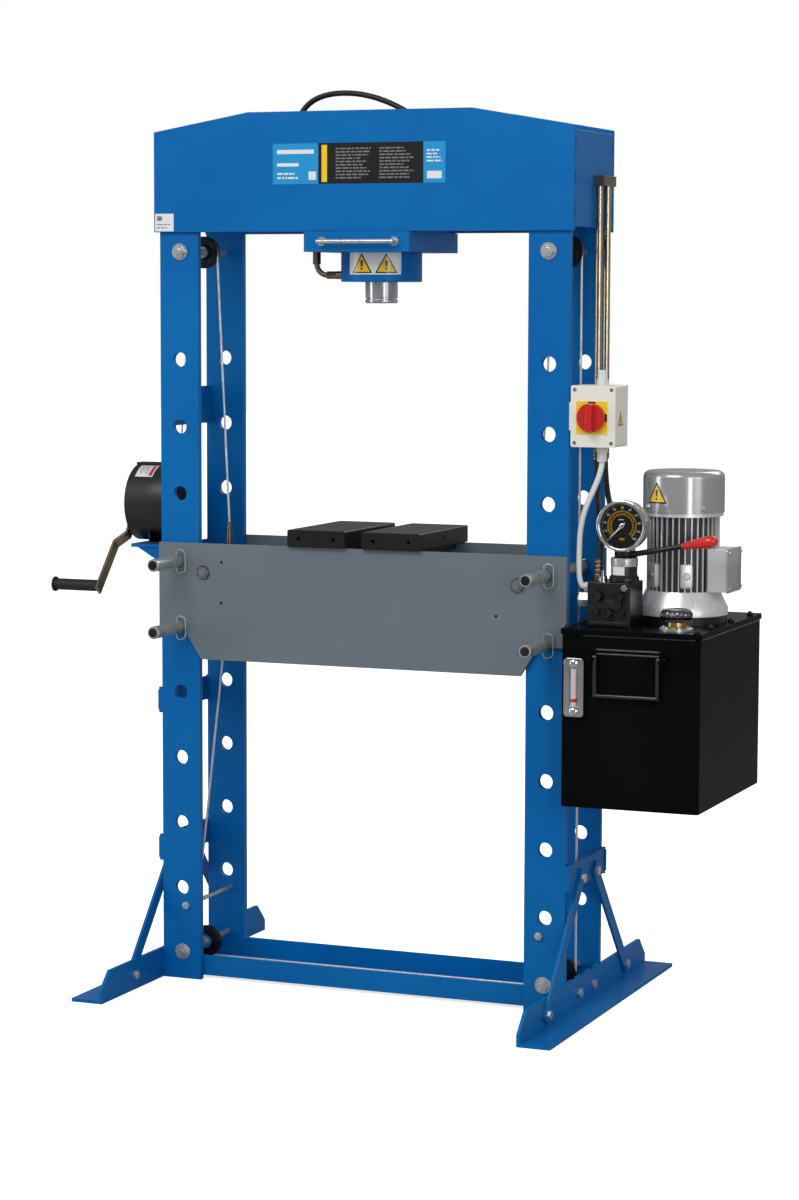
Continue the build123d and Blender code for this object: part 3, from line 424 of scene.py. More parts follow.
# %% Metals
def metal(name, colour, second, rough, grain=0.004, stretch=None, depth=0.00004, worn=0.12, bare=1.0):
    """A metal with two close colours in patches and fine grain; bare is less than 1 under a film."""
    f = Finish(name)
    cloud = f.noise(grain * 9, 4)
    lines = f.noise(grain, 4, stretch=stretch)
    body = f.blend(cloud.between(0.35, 0.7), tint(*colour), tint(*second))
    body = f.blend(lines.between(0.45, 0.8) * 0.35, body, tint(*[c * 0.72 for c in colour]))
    return f.surface(Base_Color=body, Metallic=bare, Roughness=rough + worn * (lines - 0.5),
                     Normal=f.bump(lines, depth))


zinc_steel = metal("zinc_steel", (216, 219, 221), (190, 194, 197), 0.28, grain=0.002, bare=0.75)
pin_steel = metal("pin_steel", (186, 188, 184), (158, 161, 159), 0.34, stretch=(1, 0.08, 1), bare=0.55)
yellow_zinc = metal("yellow_zinc", (196, 170, 122), (178, 156, 132), 0.24, stretch=(1, 1, 0.06))
riser_zinc = metal("riser_zinc", (206, 190, 150), (190, 172, 158), 0.20, stretch=(1, 1, 0.04))
chrome = metal("chrome", (222, 224, 226), (205, 208, 210), 0.10, depth=0.00001, worn=0.05)
ram_steel = metal("ram_steel", (206, 208, 210), (180, 183, 186), 0.22, stretch=(0.1, 0.1, 3), bare=0.75)
wire_steel = metal("wire_steel", (240, 241, 240), (214, 216, 216), 0.32, grain=0.001, bare=0.45)
cowl_silver = metal("cowl_silver", (196, 197, 199), (188, 190, 193), 0.22, grain=0.0008, depth=0.00001,
                    worn=0.04, bare=0.62)
silver_paint = metal("silver_paint", (226, 228, 230), (214, 217, 220), 0.34, grain=0.0012, worn=0.08,
                     bare=0.6)
brass = metal("brass", (190, 160, 92), (168, 140, 80), 0.26)
dark_chrome = metal("dark_chrome", (120, 122, 124), (84, 86, 90), 0.14, depth=0.00001, worn=0.06)
dark_steel = metal("dark_steel", (74, 74, 76), (58, 58, 60), 0.36, grain=0.002)
fitting_zinc = metal("fitting_zinc", (150, 132, 112), (120, 104, 92), 0.30, grain=0.002)


# %% The motor's finned casting
def fins(name, middle, root, tip, span):
    """Silver paint with painted shade between the fins: a dark grey stands in for the shade that falls there.

    The painted shade is full at the root of the fins and gone at their tips, by how far a point is
    from the motor's axis, and it lies only within the span of heights that has fins.
    """
    f = Finish(name)
    x = f.axis("X") - middle[0]
    y = f.axis("Y") - middle[1]
    far = (x * x + y * y) ** 0.5
    z = f.axis("Z")
    within = z.between(span[0] - 0.002, span[0]) * (1.0 - z.between(span[1], span[1] + 0.002))
    # Painted shade mask: 1 at the root of the fins and 0 at their tips, standing in for the shade between
    # them.
    painted_fin_shade = within * (1.0 - far.between(root, tip))
    grain = f.noise(0.0012, 3)
    body = f.blend(grain * 0.4, tint(236, 238, 240), tint(222, 225, 228))
    # Painted shade: dark grey replaces the silver where the mask is 1.
    body = f.blend(painted_fin_shade, body, tint(64, 66, 69))
    return f.surface(Base_Color=body, Metallic=0.55, Roughness=0.28 + 0.10 * grain,
                     Normal=f.bump(grain, 0.00003))


cowl_low, cowl_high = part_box("motor_cowl")
cowl_r = (cowl_high.x - cowl_low.x) / 2
motor_axis = ((cowl_low.x + cowl_high.x) / 2, (cowl_low.y + cowl_high.y) / 2)
fin_silver_painted_shade = fins("fin_silver_painted_shade", motor_axis, 0.0722, 0.0752, (cowl_low.z - 0.172, cowl_low.z))

# %% [markdown]
# Plastics and rubber reflect far less. Moulded plastic has a fine even sparkle from its
# mould, hose rubber shows the print of the cloth it was cured in, and a printed label is
# flat colour under a thin glossy film.


# %% Plastics, rubber and print
def plastic(name, colour, rough, grain=0.0012, depth=0.00003, coat=0.0):
    """Moulded plastic: one colour that hardly varies, with a fine even texture."""
    f = Finish(name)
    mould = f.noise(grain, 2)
    shade = f.blend(f.noise(0.05, 3) * 0.25, tint(*colour), tint(*[c * 0.86 for c in colour]))
    return f.surface(Base_Color=shade, Roughness=rough + 0.12 * (mould - 0.5),
                     Normal=f.bump(mould, depth), Coat_Weight=coat, Coat_Roughness=0.15)


def hose_rubber(name, colour):
    """Hose rubber: its cover keeps the weave of the wrapping that it was cured in."""
    f = Finish(name)
    bands = {"Vector": f.place, "Scale": 160.0}
    weave = f.node("ShaderNodeTexWave", {"bands_direction": "DIAGONAL"}, bands, out="Fac")
    wear = f.noise(0.02, 4)
    body = f.blend(wear.between(0.5, 0.8), tint(*colour), tint(*[c + 14 for c in colour]))
    return f.surface(Base_Color=body, Roughness=0.42 + 0.15 * wear,
                     Normal=f.bump(weave * 0.6 + wear * 0.4, 0.0001))


black_rubber = hose_rubber("black_rubber", (20, 20, 21))
white_sheath = plastic("white_sheath", (232, 232, 228), 0.34, coat=0.2)
grip_rubber = plastic("grip_rubber", (24, 23, 22), 0.52, grain=0.002, depth=0.0001)
black_plastic = plastic("black_plastic", (22, 22, 24), 0.30)
switch_grey = plastic("switch_grey", (236, 234, 222), 0.38)
gland_white = plastic("gland_white", (222, 222, 218), 0.40)
red_plastic = plastic("red_plastic", (206, 24, 24), 0.26, coat=0.4)
red_grip = plastic("red_grip", (214, 34, 30), 0.22, coat=0.5)
yellow_print = plastic("yellow_print", (245, 205, 20), 0.30, coat=0.3)
white_print = plastic("white_print", (232, 234, 234), 0.32, coat=0.3)
black_print = plastic("black_print", (14, 14, 15), 0.28, coat=0.3)
light_blue_print = plastic("light_blue_print", (20, 150, 214), 0.28, coat=0.3)
grey_print = plastic("grey_print", (120, 122, 122), 0.36, coat=0.2)
cast_black = plastic("cast_black", (20, 20, 22), 0.30, grain=0.003, depth=0.00015, coat=0.15)
red_print = plastic("red_print", (190, 28, 30), 0.32, coat=0.2)
dial_orange = plastic("dial_orange", (236, 168, 44), 0.40)


# %% Clear parts
def clear(name, colour):
    """Glass or clear plastic that only shows by its gloss: mostly see-through."""
    f = Finish(name)
    haze = f.noise(0.01, 3)
    return f.surface(Base_Color=tint(*colour), Roughness=0.03 + 0.04 * haze, Alpha=0.07, IOR=1.45)


dial_glass = clear("dial_glass", (8, 8, 9))
level_tube = plastic("level_tube", (214, 200, 206), 0.12, coat=0.8)

# %% [markdown]
# ## Dressing the frame's own parts
# Where a part's shape is already right, it only needs its finish and its sharp edges taken
# off. Its mesh stays as it is: three modifiers join its loose triangles, clear the flat
# faces of lines, and roll each sharp edge over by about a millimetre.


# %% Finish and edges for each part
def dress(name, finish, edge):
    """Gives a part its finish, and rounds its sharp edges by an amount in metres."""
    part = nodes[name]
    part.data.materials.clear()
    part.data.materials.append(finish)
    if edge:
        join = part.modifiers.new("join", "WELD")
        join.merge_threshold = 0.000002
        plain = part.modifiers.new("plain", "DECIMATE")
        plain.decimate_type = "DISSOLVE"
        plain.angle_limit = math.radians(0.4)
        roll_over = part.modifiers.new("edges", "BEVEL")
        roll_over.width = edge
        roll_over.segments = 2
        roll_over.limit_method = "ANGLE"
        roll_over.angle_limit = SHARP
        smooth = part.modifiers.new("shade", "WEIGHTED_NORMAL")
        smooth.keep_sharp = True


steel_parts = {
    "uprights": (blue_paint, 0.0012), "column_ties": (blue_paint, 0.001),
    "base_channel": (blue_paint, 0.001), "feet": (blue_paint, 0.001), "braces": (blue_paint, 0.0008),
    "head_plates": (blue_paint, 0.0012), "head_end_plates": (blue_paint, 0.001),
    "head_rails": (blue_paint, 0.001), "winch_bracket": (blue_paint, 0.001),
    "carriage": (blue_paint, 0.001), "cylinder_barrel": (blue_paint, 0.0008),
    "bed_plates": (grey_paint, 0.0012), "bed_spacers": (grey_paint, 0.0008),
    "press_block_left": (block_paint, 0.0007), "press_block_right": (block_paint, 0.0007),
    "winch_frame": (dark_steel, 0.0006), "winch_cover": (cover_paint, 0.0008),
    "winch_drum": (dark_steel, 0.0003), "winch_pinion": (dark_steel, 0.0003),
    "crank": (yellow_zinc, 0.0012), "crank_grip": (grip_rubber, 0.0012),
    "sheave_top_left": (cast_black, 0.0005), "sheave_top_right": (cast_black, 0.0005),
    "sheave_low_left": (cast_black, 0.0005), "sheave_low_right": (cast_black, 0.0005),
    "rope_sockets": (fitting_zinc, 0.0005), "frame_bolts": (zinc_steel, 0.0005),
    "pin_high_left": (pin_steel, 0.0004), "pin_low_left": (pin_steel, 0.0004),
    "pin_high_right": (pin_steel, 0.0004), "pin_low_right": (pin_steel, 0.0004),
    "carriage_handle": (zinc_steel, 0.0004), "elbow_tube": (fitting_zinc, 0.0005),
    "ram": (ram_steel, 0.0006), "riser_tubes": (riser_zinc, 0.0003),
    "hose_fittings": (fitting_zinc, 0.0006), "tank": (tank_paint, 0.001),
    "tank_lid": (tank_paint, 0.001), "tank_bail": (gloss_black, 0.0004),
    "filler_cap": (black_plastic, 0.0005), "lid_bolts": (dark_steel, 0.0004),
    "level_gauge": (chrome, 0.0005), "motor_body": (fin_silver_painted_shade, 0.0006),
    "motor_cowl": (cowl_silver, 0.0005), "motor_fan": (black_plastic, 0.0004),
    "pump": (dark_steel, 0.0006), "valve_block": (cast_black, 0.0008),
    "lever_valve": (cast_black, 0.0006), "valve_lever": (cast_black, 0.0005),
    "gauge_body": (zinc_steel, 0.0006), "gauge_needle": (white_print, 0),
    "switch_box": (switch_grey, 0.0006), "switch_lid": (switch_grey, 0.0006),
    "switch_knob": (red_plastic, 0.0006), "cable_glands": (gland_white, 0.0005),
    "lift_ropes": (wire_steel, 0), "rope_falls": (wire_steel, 0),
    "cylinder_hoses": (black_rubber, 0), "pump_hoses": (black_rubber, 0),
    "signal_cable": (white_sheath, 0),
}
for part_name, (finish, edge) in steel_parts.items():
    dress(part_name, finish, edge)
print("dressed", len(steel_parts), "of", len(nodes), "parts")

# %% [markdown]
# ## Hoses and the switch cable
# Each one is a smooth curve through the space between two fittings. The route's points are
# the controls of a spline, and the tube follows the spline's own line. The two hoses over
# the head run to the cylinder; they ride on no body and keep their place when it slides.


# %% Places counted from the middle of the columns
column_low, column_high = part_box("uprights")
centre_x = (column_low.x + column_high.x) / 2


def at(x, y, z):
    """A point in the frame, whose X is counted from the middle of the columns."""
    return np.array((centre_x + x, y, z))


def line_of(name, points):
    """The smooth line that has a route's points as its controls, as a row of places."""
    route = bpy.data.curves.new(name, "CURVE")
    route.dimensions = "3D"
    route.resolution_u = 14
    spline = route.splines.new("NURBS")
    spline.points.add(len(points) - 1)
    for control, point in zip(spline.points, points):
        control.co = (*at(*point), 1.0)
    spline.order_u = 3
    spline.use_endpoint_u = True
    holder = bpy.data.objects.new(name, route)
    bpy.context.scene.collection.objects.link(holder)
    bpy.context.view_layer.update()
    flat = bpy.data.meshes.new_from_object(holder)
    line = np.array([tuple(v.co) for v in flat.vertices])
    bpy.data.objects.remove(holder)
    bpy.data.curves.remove(route)
    bpy.data.meshes.remove(flat)
    return line


# %% Hoses, cable and wire falls
def hose_piece(name, points, radius, finish, node, bends_to=None):
    """A hose along a route, of its real length. Given a body that slides, it rides on no body."""
    line = line_of(name, points)
    made = piece(name, "frame", finish, tube(line, radius, 20), ride=bends_to is None, slot="black_rubber")
    if bends_to:
        at(0.40, 0, 1.8)
        at(points[-1][0], 0, 1.8)
        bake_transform(made)
    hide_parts(node)
    print(name, "measures", round(float(np.linalg.norm(np.diff(line, axis=0), axis=1).sum()), 3), "m")


cylinder_feed = [
    (0.462, 0.006, 1.800), (0.255, 0.006, 1.800), (0.020, 0.002, 2.000), (-0.208, 0.0, 2.000),
    (-0.208, 0.0, 1.800), (-0.157, 0.0, 1.745), (-0.157, 0.0, 1.701),
]
cylinder_return = [
    (0.462, 0.060, 1.800), (0.300, 0.060, 1.800), (0.130, 0.045, 1.915), (0.050, 0.030, 1.915),
    (0.050, 0.030, 1.8745),
]
pump_feed = [
    (0.505, 0.006, 1.224), (0.505, 0.006, 1.150), (0.532, -0.060, 1.085), (0.549, -0.092, 1.035),
    (0.543, -0.092, 0.971),
]
pump_return = [
    (0.505, 0.060, 1.224), (0.505, 0.060, 1.140), (0.562, -0.030, 1.065), (0.572, -0.050, 1.010),
    (0.572, -0.050, 0.971),
]
switch_lead = [
    (0.548, -0.090, 1.2025), (0.548, -0.090, 1.180), (0.505, -0.100, 1.085), (0.501, -0.100, 0.990),
    (0.504, -0.100, 0.935), (0.5155, -0.100, 0.935),
]
hose_r = 0.00625
hose_piece("feed_hose", cylinder_feed, hose_r, black_rubber, "cylinder_hoses", "cylinder")
hose_piece("return_hose", cylinder_return, hose_r, black_rubber, "cylinder_hoses", "cylinder")
hose_piece("pump_feed_hose", pump_feed, hose_r, black_rubber, "pump_hoses")
hose_piece("pump_return_hose", pump_return, hose_r, black_rubber, "pump_hoses")
hose_piece("switch_cable", switch_lead, 0.006, white_sheath, "signal_cable")


def crimp(place, way):
    """The swaged collar at a hose's end: a sleeve with three pressed rings."""
    radius, mouth, long = 0.0092, 0.0066, 0.026
    rows = [(mouth, 0.0)]
    for k in range(19):
        h = long * k / 18
        ring = 0.0006 * math.cos(2 * math.pi * 3 * k / 18)
        rows.append((radius + ring, h))
    rows.append((mouth, long))
    return turned(rows, place, way, 32)


piece("pump_crimps", "frame", fitting_zinc,
      crimp(at(0.505, 0.006, 1.228), (0, 0, -1)), crimp(at(0.505, 0.060, 1.228), (0, 0, -1)),
      crimp(at(0.543, -0.092, 0.970), (0, 0, 1)), crimp(at(0.572, -0.050, 0.970), (0, 0, 1)),
      crimp(at(0.462, 0.006, 1.800), (-1, 0, 0)), crimp(at(0.462, 0.060, 1.800), (-1, 0, 0)),
      slot="yellow_zinc")
piece("cylinder_crimps", "cylinder", fitting_zinc,
      crimp(at(-0.157, 0, 1.701), (0, 0, 1)), crimp(at(0.050, 0.030, 1.874), (0, 0, 1)), slot="yellow_zinc")


def wire_fall(name, high, low):
    """A straight fall of six-strand wire rope; it rides on no body, so its length stays as drawn."""
    line = at(*high) + (at(*low) - at(*high)) * np.linspace(0, 1, 240)[:, None]
    made = piece(name, "frame", wire_steel, tube(line, 0.0026, 24, 6, 0.030, 0.0007), ride=False,
                 slot="wire_rope")
    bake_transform(made)
    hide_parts("rope_falls")


wire_fall("left_fall", (-0.404, 0, 1.6515), (-0.375, 0, 1.0395))
wire_fall("right_fall", (0.404, 0, 1.6515), (0.375, 0, 1.0395))
wire_fall("low_fall", (-0.4678, 0, 0.0656), (-0.375, 0, 0.8803))

# %% [markdown]
# ## Labels and printed marks
# A label is a thin film, so it is one sheet of points just above its plate. The same sheet is
# laid flat on a plate or rolled round a bar. Printed words are only plain dashes here.


# %% Printed films
def film(width, height, middle=(0, 0), top=None, lift=0.0003, steps=(16, 8)):
    """A sheet on a grid: X across, Y up and Z off its plate. A narrow top makes a triangle."""
    top = width if top is None else top
    u, v = np.meshgrid(np.linspace(-0.5, 0.5, steps[0]), np.linspace(0, 1, steps[1]), indexing="ij")
    x = u * (width + (top - width) * v) + middle[0]
    y = (v - 0.5) * height + middle[1]
    points = np.stack([x, y, np.full_like(x, lift)], -1)
    i, j = np.meshgrid(np.arange(steps[0] - 1), np.arange(steps[1] - 1), indexing="ij")
    a = (i * steps[1] + j).ravel()
    return points.reshape(-1, 3), np.stack([a, a + steps[1], a + steps[1] + 1, a + 1], -1).tolist()


def laid(shape, place, across=(1, 0, 0), upward=(0, 0, 1)):
    """A sheet laid flat on a plate, with its own X and Y along two directions."""
    points, faces = shape
    u, v = np.array(across, float), np.array(upward, float)
    ways = np.stack([u, v, np.cross(u, v)])
    return np.array(place) + points @ ways, faces


def rolled(shape, place, along, toward, radius):
    """A sheet rolled round a bar: its X goes round from one direction and its Y runs along."""
    points, faces = shape
    w, u = np.array(along, float), np.array(toward, float)
    a = points[:, 0] / radius
    r = radius + points[:, 2]
    ring = np.cos(a)[:, None] * u + np.sin(a)[:, None] * np.cross(w, u)
    return np.array(place) + points[:, 1:2] * w + r[:, None] * ring, faces


def dashes(width, height, rows, middle, seed, thick=0.45):
    """Lines of print, shown as plain dashes of uneven length."""
    rng = np.random.default_rng(seed)
    shapes = []
    pitch = height / rows
    for k in range(rows):
        x = -width / 2
        stop = width / 2 - rng.random() * width * 0.35
        while x < stop:
            long = min(0.004 + 0.012 * rng.random(), stop - x)
            spot = (middle[0] + x + long / 2, middle[1] + height / 2 - (k + 0.5) * pitch)
            shapes.append(film(long, pitch * thick, spot, lift=0.0006, steps=(2, 2)))
            x += long + 0.0025
    return shapes


def sign_films(size, middle=(0, 0)):
    """A plain warning triangle: its dark border, its yellow field and a bar over a dot."""
    x, y = middle
    edge = [film(size, size * 0.88, (x, y), 0, lift=0.0004)]
    field = [film(size * 0.80, size * 0.70, (x, y - size * 0.03), 0, lift=0.0006)]
    mark = [film(size * 0.085, size * 0.27, (x, y - size * 0.02), size * 0.12, 0.0008, (3, 3)),
            film(size * 0.10, size * 0.08, (x, y - size * 0.25), lift=0.0008, steps=(3, 3))]
    return edge, field, mark


def facing(name, body, finish, shapes, place, **ways):
    """Several sheets laid on one plate as one piece."""
    piece(name, body, finish, *[laid(shape, place, **ways) for shape in shapes])


def wrapped(name, body, finish, shapes, place, way):
    """Several sheets rolled round one bar as one piece."""
    piece(name, body, finish, *[rolled(shape, place, **way) for shape in shapes])


sign_layers = (("edge", black_print), ("field", yellow_print), ("mark", black_print))


# %% The panel on the head
panel_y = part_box("head_plates")[0].y
panel = at(-0.025, panel_y, 1.840)
facing("panel_ends", "frame", light_blue_print,
       [film(0.109, 0.088, (-0.1235, 0)), film(0.051, 0.088, (0.2035, 0))], panel)
facing("panel_middle", "frame", black_print, [film(0.247, 0.088, (0.0545, 0))], panel)
facing("panel_stripe", "frame", yellow_print, [film(0.013, 0.080, (-0.0545, 0), lift=0.0005)], panel)
facing("panel_notes", "frame", grey_print,
       dashes(0.085, 0.070, 10, (0.015, 0), 3) + dashes(0.085, 0.070, 10, (0.118, 0), 4), panel)
facing("panel_rules", "frame", white_print,
       [film(0.088, 0.009, (-0.1235, 0.026), lift=0.0006), film(0.052, 0.007, (-0.1415, -0.002), lift=0.0006),
        film(0.018, 0.018, (-0.083, -0.026), lift=0.0006), film(0.034, 0.016, (0.2035, -0.027), lift=0.0006)]
       + dashes(0.058, 0.018, 2, (-0.138, -0.026), 5) + dashes(0.036, 0.030, 4, (0.2035, 0.014), 6), panel)

facing("plate_sticker", "frame", white_print, [film(0.046, 0.039)], at(-0.469, panel_y, 1.7145))
facing("plate_sticker_print", "frame", grey_print,
       dashes(0.038, 0.014, 2, (0, -0.008), 8, 0.3) + [film(0.012, 0.010, (-0.012, 0.009), lift=0.0006)],
       at(-0.469, panel_y, 1.7145))

# %% Signs on the barrel, the motor and the switch
barrel_low, barrel_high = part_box("cylinder_barrel")
barrel_r = (barrel_high.x - barrel_low.x) / 2
barrel_mid = ((barrel_low.x + barrel_high.x) / 2, 0, 1.624)
sign_turn = 0.20
barrel_way = dict(along=(0, 0, 1), toward=(math.sin(sign_turn), -math.cos(sign_turn), 0), radius=barrel_r)
signs = [sign_films(0.050, (x, 0.001)) for x in (-0.028, 0.028)]
wrapped("barrel_label", "cylinder", white_print, [film(0.124, 0.048)], barrel_mid, barrel_way)
for (layer, finish), left_films, right_films in zip(sign_layers, *signs):
    wrapped(f"barrel_sign_{layer}", "cylinder", finish, left_films + right_films, barrel_mid, barrel_way)

cowl_mid = (*motor_axis, cowl_low.z + 0.044)
cowl_turn = -0.42
cowl_way = dict(along=(0, 0, 1), toward=(math.sin(cowl_turn), -math.cos(cowl_turn), 0), radius=cowl_r)
for (layer, finish), shapes in zip(sign_layers, sign_films(0.052)):
    wrapped(f"motor_sign_{layer}", "frame", finish, shapes, cowl_mid, cowl_way)

switch_low, switch_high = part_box("switch_lid")
switch_side = np.array((switch_high.x, -0.094, 1.296))
for (layer, finish), shapes in zip(sign_layers, sign_films(0.034)):
    facing(f"switch_sign_{layer}", "frame", finish, shapes, switch_side, across=(0, 1, 0))
knob_low, knob_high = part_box("switch_knob")
knob = np.array(((knob_low.x + knob_high.x) / 2, switch_low.y, (knob_low.z + knob_high.z) / 2))
facing("switch_plate", "frame", yellow_print, [film(0.070, 0.070, lift=0.0002)], knob)
facing("switch_ticks", "frame", black_print,
       [film(0.016, 0.004, (0, 0.032), lift=0.0005), film(0.004, 0.016, (0.032, 0), lift=0.0005)], knob)

winch_low, winch_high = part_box("winch_cover")
winch_z = 1.080
winch_mid = (winch_low.x + 0.030, 0, winch_z)
label_rise = math.radians(58)
winch_way = dict(along=(1, 0, 0), toward=(0, -math.cos(label_rise), math.sin(label_rise)), radius=0.088)
wrapped("winch_label", "frame", white_print, [film(0.044, 0.044, (0, 0.012))], winch_mid, winch_way)
wrapped("winch_label_stripe", "frame", red_print, [film(0.038, 0.008, (0, 0.027), lift=0.0006)],
        winch_mid, winch_way)
wrapped("winch_label_print", "frame", grey_print, dashes(0.036, 0.026, 5, (0, 0.007), 12),
        winch_mid, winch_way)
skirt_start = np.array((winch_high.x - 0.001, 0, winch_z))
piece("winch_skirt", "frame", cover_paint,
      ring_around([(0.0860, 0), (0.0878, 0), (0.0878, 0.0470), (0.0872, 0.0480), (0.0860, 0.0480)],
                  skirt_start, (1, 0, 0), 96), slot="black_paint")

# %% [markdown]
# ## The pressure gauge
# The scale starts at the lower left, goes over the top and ends at the lower right, which is
# three quarters of a circle. A share of the scale becomes an angle, and one helper then draws
# every tick. There are five small ticks to each large one, and an orange band and a ring of
# coarser ticks inside them, as on a gauge that reads in two units.


# %% Dial, scale, bezel and glass
gauge_low, gauge_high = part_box("gauge_body")
gauge_r = 0.053
gauge = np.array((gauge_low.x + gauge_r, gauge_low.y, gauge_high.z - gauge_r))
dial = gauge + (0, 0.0068, 0)
toward_us = (0, -1, 0)


def spoke(turn_at, inner, outer, width):
    """A tick on the dial: a narrow bar that points away from the middle."""
    a = math.radians(turn_at)
    middle = ((inner + outer) / 2 * math.cos(a), (inner + outer) / 2 * math.sin(a))
    points, faces = film(outer - inner, width, lift=0.0006, steps=(2, 2))
    spin = np.array(((math.cos(a), math.sin(a), 0), (-math.sin(a), math.cos(a), 0), (0, 0, 1)))
    return points @ spin + (*middle, 0), faces


def numeral(text, spot, size):
    """A number on a dial, from the program's own plain letters."""
    words = bpy.data.curves.new("numeral", "FONT")
    words.body = text
    words.size = size
    words.align_x, words.align_y = "CENTER", "CENTER"
    words.resolution_u = 2
    holder = bpy.data.objects.new("numeral", words)
    bpy.context.scene.collection.objects.link(holder)
    bpy.context.view_layer.update()
    flat = bpy.data.meshes.new_from_object(holder)
    points = np.array([tuple(v.co) for v in flat.vertices]) + (*spot, 0.0006)
    faces = [list(face.vertices) for face in flat.polygons]
    bpy.data.objects.remove(holder)
    bpy.data.curves.remove(words)
    bpy.data.meshes.remove(flat)
    return points, faces


def scale_turn(share):
    """Where a share of the scale lies, in degrees: from lower left, over the top, to lower right."""
    return 225 - 270 * share


piece("gauge_dial", "frame", black_print,
      turned([(0, 0), (0.0479, 0), (0.0479, 0.0004), (0, 0.0004)], dial, toward_us, 96))
fine = [spoke(scale_turn(k / 50), 0.0440, 0.0462, 0.0007) for k in range(51)]
bold = [spoke(scale_turn(k / 10), 0.0430, 0.0465, 0.0013) for k in range(11)]
numbers = []
number_r = 0.0382
for k in range(11):
    a = math.radians(scale_turn(k / 10))
    numbers.append(numeral(str(k * 10), (number_r * math.cos(a), number_r * math.sin(a)), 0.0066))
facing("gauge_scale", "frame", white_print, fine + bold + numbers, dial)
band = [spoke(scale_turn(k / 120), 0.0292, 0.0326, 0.0019) for k in range(121)]
coarse = [spoke(scale_turn(k / 28), 0.0228, 0.0268, 0.0014) for k in range(29)]
legend = [film(0.012, 0.0014, (0, -0.0270), lift=0.0006), film(0.009, 0.0014, (0, -0.0300), lift=0.0006)]
facing("gauge_band", "frame", dial_orange, band + coarse + legend, dial)
facing("gauge_maker_bar", "frame", white_print, [film(0.011, 0.0016, (-0.002, 0.0130), lift=0.0006)], dial)
piece("gauge_bezel", "frame", chrome,
      ring_around([(0.0470, 0.0), (0.0535, -0.006), (0.0548, -0.003), (0.0550, 0.0005), (0.0540, 0.0025),
                   (0.0520, 0.0034), (0.0495, 0.0030), (0.0478, 0.0016)], gauge, toward_us, 96))
piece("gauge_glass", "frame", dial_glass,
      turned([(0, 0), (0.0477, 0), (0.0474, 0.0012), (0, 0.0016)], gauge, toward_us, 64))
piece("needle_hub", "needle", chrome,
      turned([(0, 0), (0.0052, 0), (0.0050, 0.0016), (0.0030, 0.0026), (0, 0.0028)],
             gauge + (0, 0.0048, 0), toward_us, 40))

# %% [markdown]
# ## The pump unit
# The lever has a moulded grip, the motor stands on a bolted ring and has lifting pads, and
# the valve block carries plugs. The tank has its level tube, weld runs and filler neck.

# %% Valve lever and valve block
block_low, block_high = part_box("valve_block")
lid_top = block_low.z
hub = at(0.602, -0.095, lid_top + 0.146)
lean = math.radians(10.8)
lever_way = np.array((math.cos(lean), 0, math.sin(lean)))
lever_start = hub + (0.012, 0, 0.006)
lever = piece("lever_rod", "lever", cast_black,
              turned([(0.0083, 0.0003), (0.0165, 0.0003), (0.017, 0.0015), (0.017, 0.0105), (0.0155, 0.012),
                      (0.0083, 0.012)], hub, (0, 0, 1), 48),
              turned([(0, -0.004), (0.0078, -0.004), (0.0078, 0.012), (0.0062, 0.018), (0.0055, 0.134),
                      (0, 0.134)], lever_start, lever_way, 32), slot="cast_black")
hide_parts("valve_lever")
grip_profile = [(0.0001, 0.1175), (0.0058, 0.118), (0.0066, 0.1195)]
for k in range(1, 13):
    grip_profile.append((0.0066 + 0.0070 * (k / 12) ** 0.85, 0.1195 + 0.0585 * k / 12))
for k in range(1, 10):
    a = math.pi / 2 * k / 9
    grip_profile.append((0.0001 + 0.0135 * math.cos(a), 0.178 + 0.0195 * math.sin(a)))
piece("lever_grip", "lever", red_grip, turned(grip_profile, lever_start, lever_way, 40), slot="red_plastic")


def socket_plug(place, way, radius, long):
    """A round plug with a chamfered rim and a round socket in its face."""
    return turned([(0, 0), (radius, 0), (radius, long - 0.001), (radius - 0.001, long), (radius * 0.5, long),
                   (radius * 0.46, long - 0.003), (0, long - 0.003)], place, way, 40)


front = block_low.y
valve = at(0.602, -0.095, lid_top)
plug_sizes = ((0.552, 0.030, 0.0085, 0.008), (0.580, 0.030, 0.0105, 0.014), (0.609, 0.030, 0.0085, 0.008),
              (0.556, 0.066, 0.0125, 0.020), (0.604, 0.066, 0.0115, 0.012))
piece("block_plugs", "frame", dark_steel,
      *[socket_plug(at(x, front, lid_top + z), toward_us, r, long) for x, z, r, long in plug_sizes],
      slot="cast_black")
piece("block_shoulders", "frame", cast_black,
      slab(rounded(0.086, 0.010, 0.003), at(0.580, front, lid_top + 0.006), (1, 0, 0), (0, 0, 1), 0.005),
      slab(rounded(0.050, 0.020, 0.006), at(0.585, front, lid_top + 0.048), (1, 0, 0), (0, 0, 1), 0.007),
      turned([(0.030, 0), (0.032, 0.002), (0.032, 0.010), (0.029, 0.014), (0.0285, 0.014)],
             at(0.602, -0.095, block_high.z), (0, 0, 1), 56), slot="cast_black")
piece("valve_collar", "frame", zinc_steel,
      ring_around([(0.0270, 0), (0.0290, 0.0004), (0.0292, 0.004), (0.0292, 0.017), (0.0282, 0.0184),
                   (0.0270, 0.0184)], valve + (0, 0, 0.1278), (0, 0, 1), 64))
piece("block_adjuster", "frame", chrome,
      turned([(0, 0), (0.0095, 0), (0.0095, 0.012), (0.008, 0.0135), (0.0045, 0.0135), (0.0045, 0.024),
              (0, 0.0245)], at(0.560, -0.112, block_high.z), (0, 0, 1), 32),
      hex_head(at(0.616, front, lid_top + 0.084), toward_us, 0.013, 0.007))
side_cap = at(0.532, -0.100, lid_top + 0.054)
piece("block_cap", "frame", zinc_steel, hex_head(side_cap, (-1, 0, 0), 0.0295, 0.0290))
piece("block_cap_ring", "frame", brass, washer(side_cap, (-1, 0, 0), 0.010, 0.0178, 0.004))
piece("valve_label", "frame", white_print,
      rolled(film(0.030, 0.020), valve + (0, 0, 0.120), (0, 0, 1), (-0.20, -0.98, 0), 0.0281))
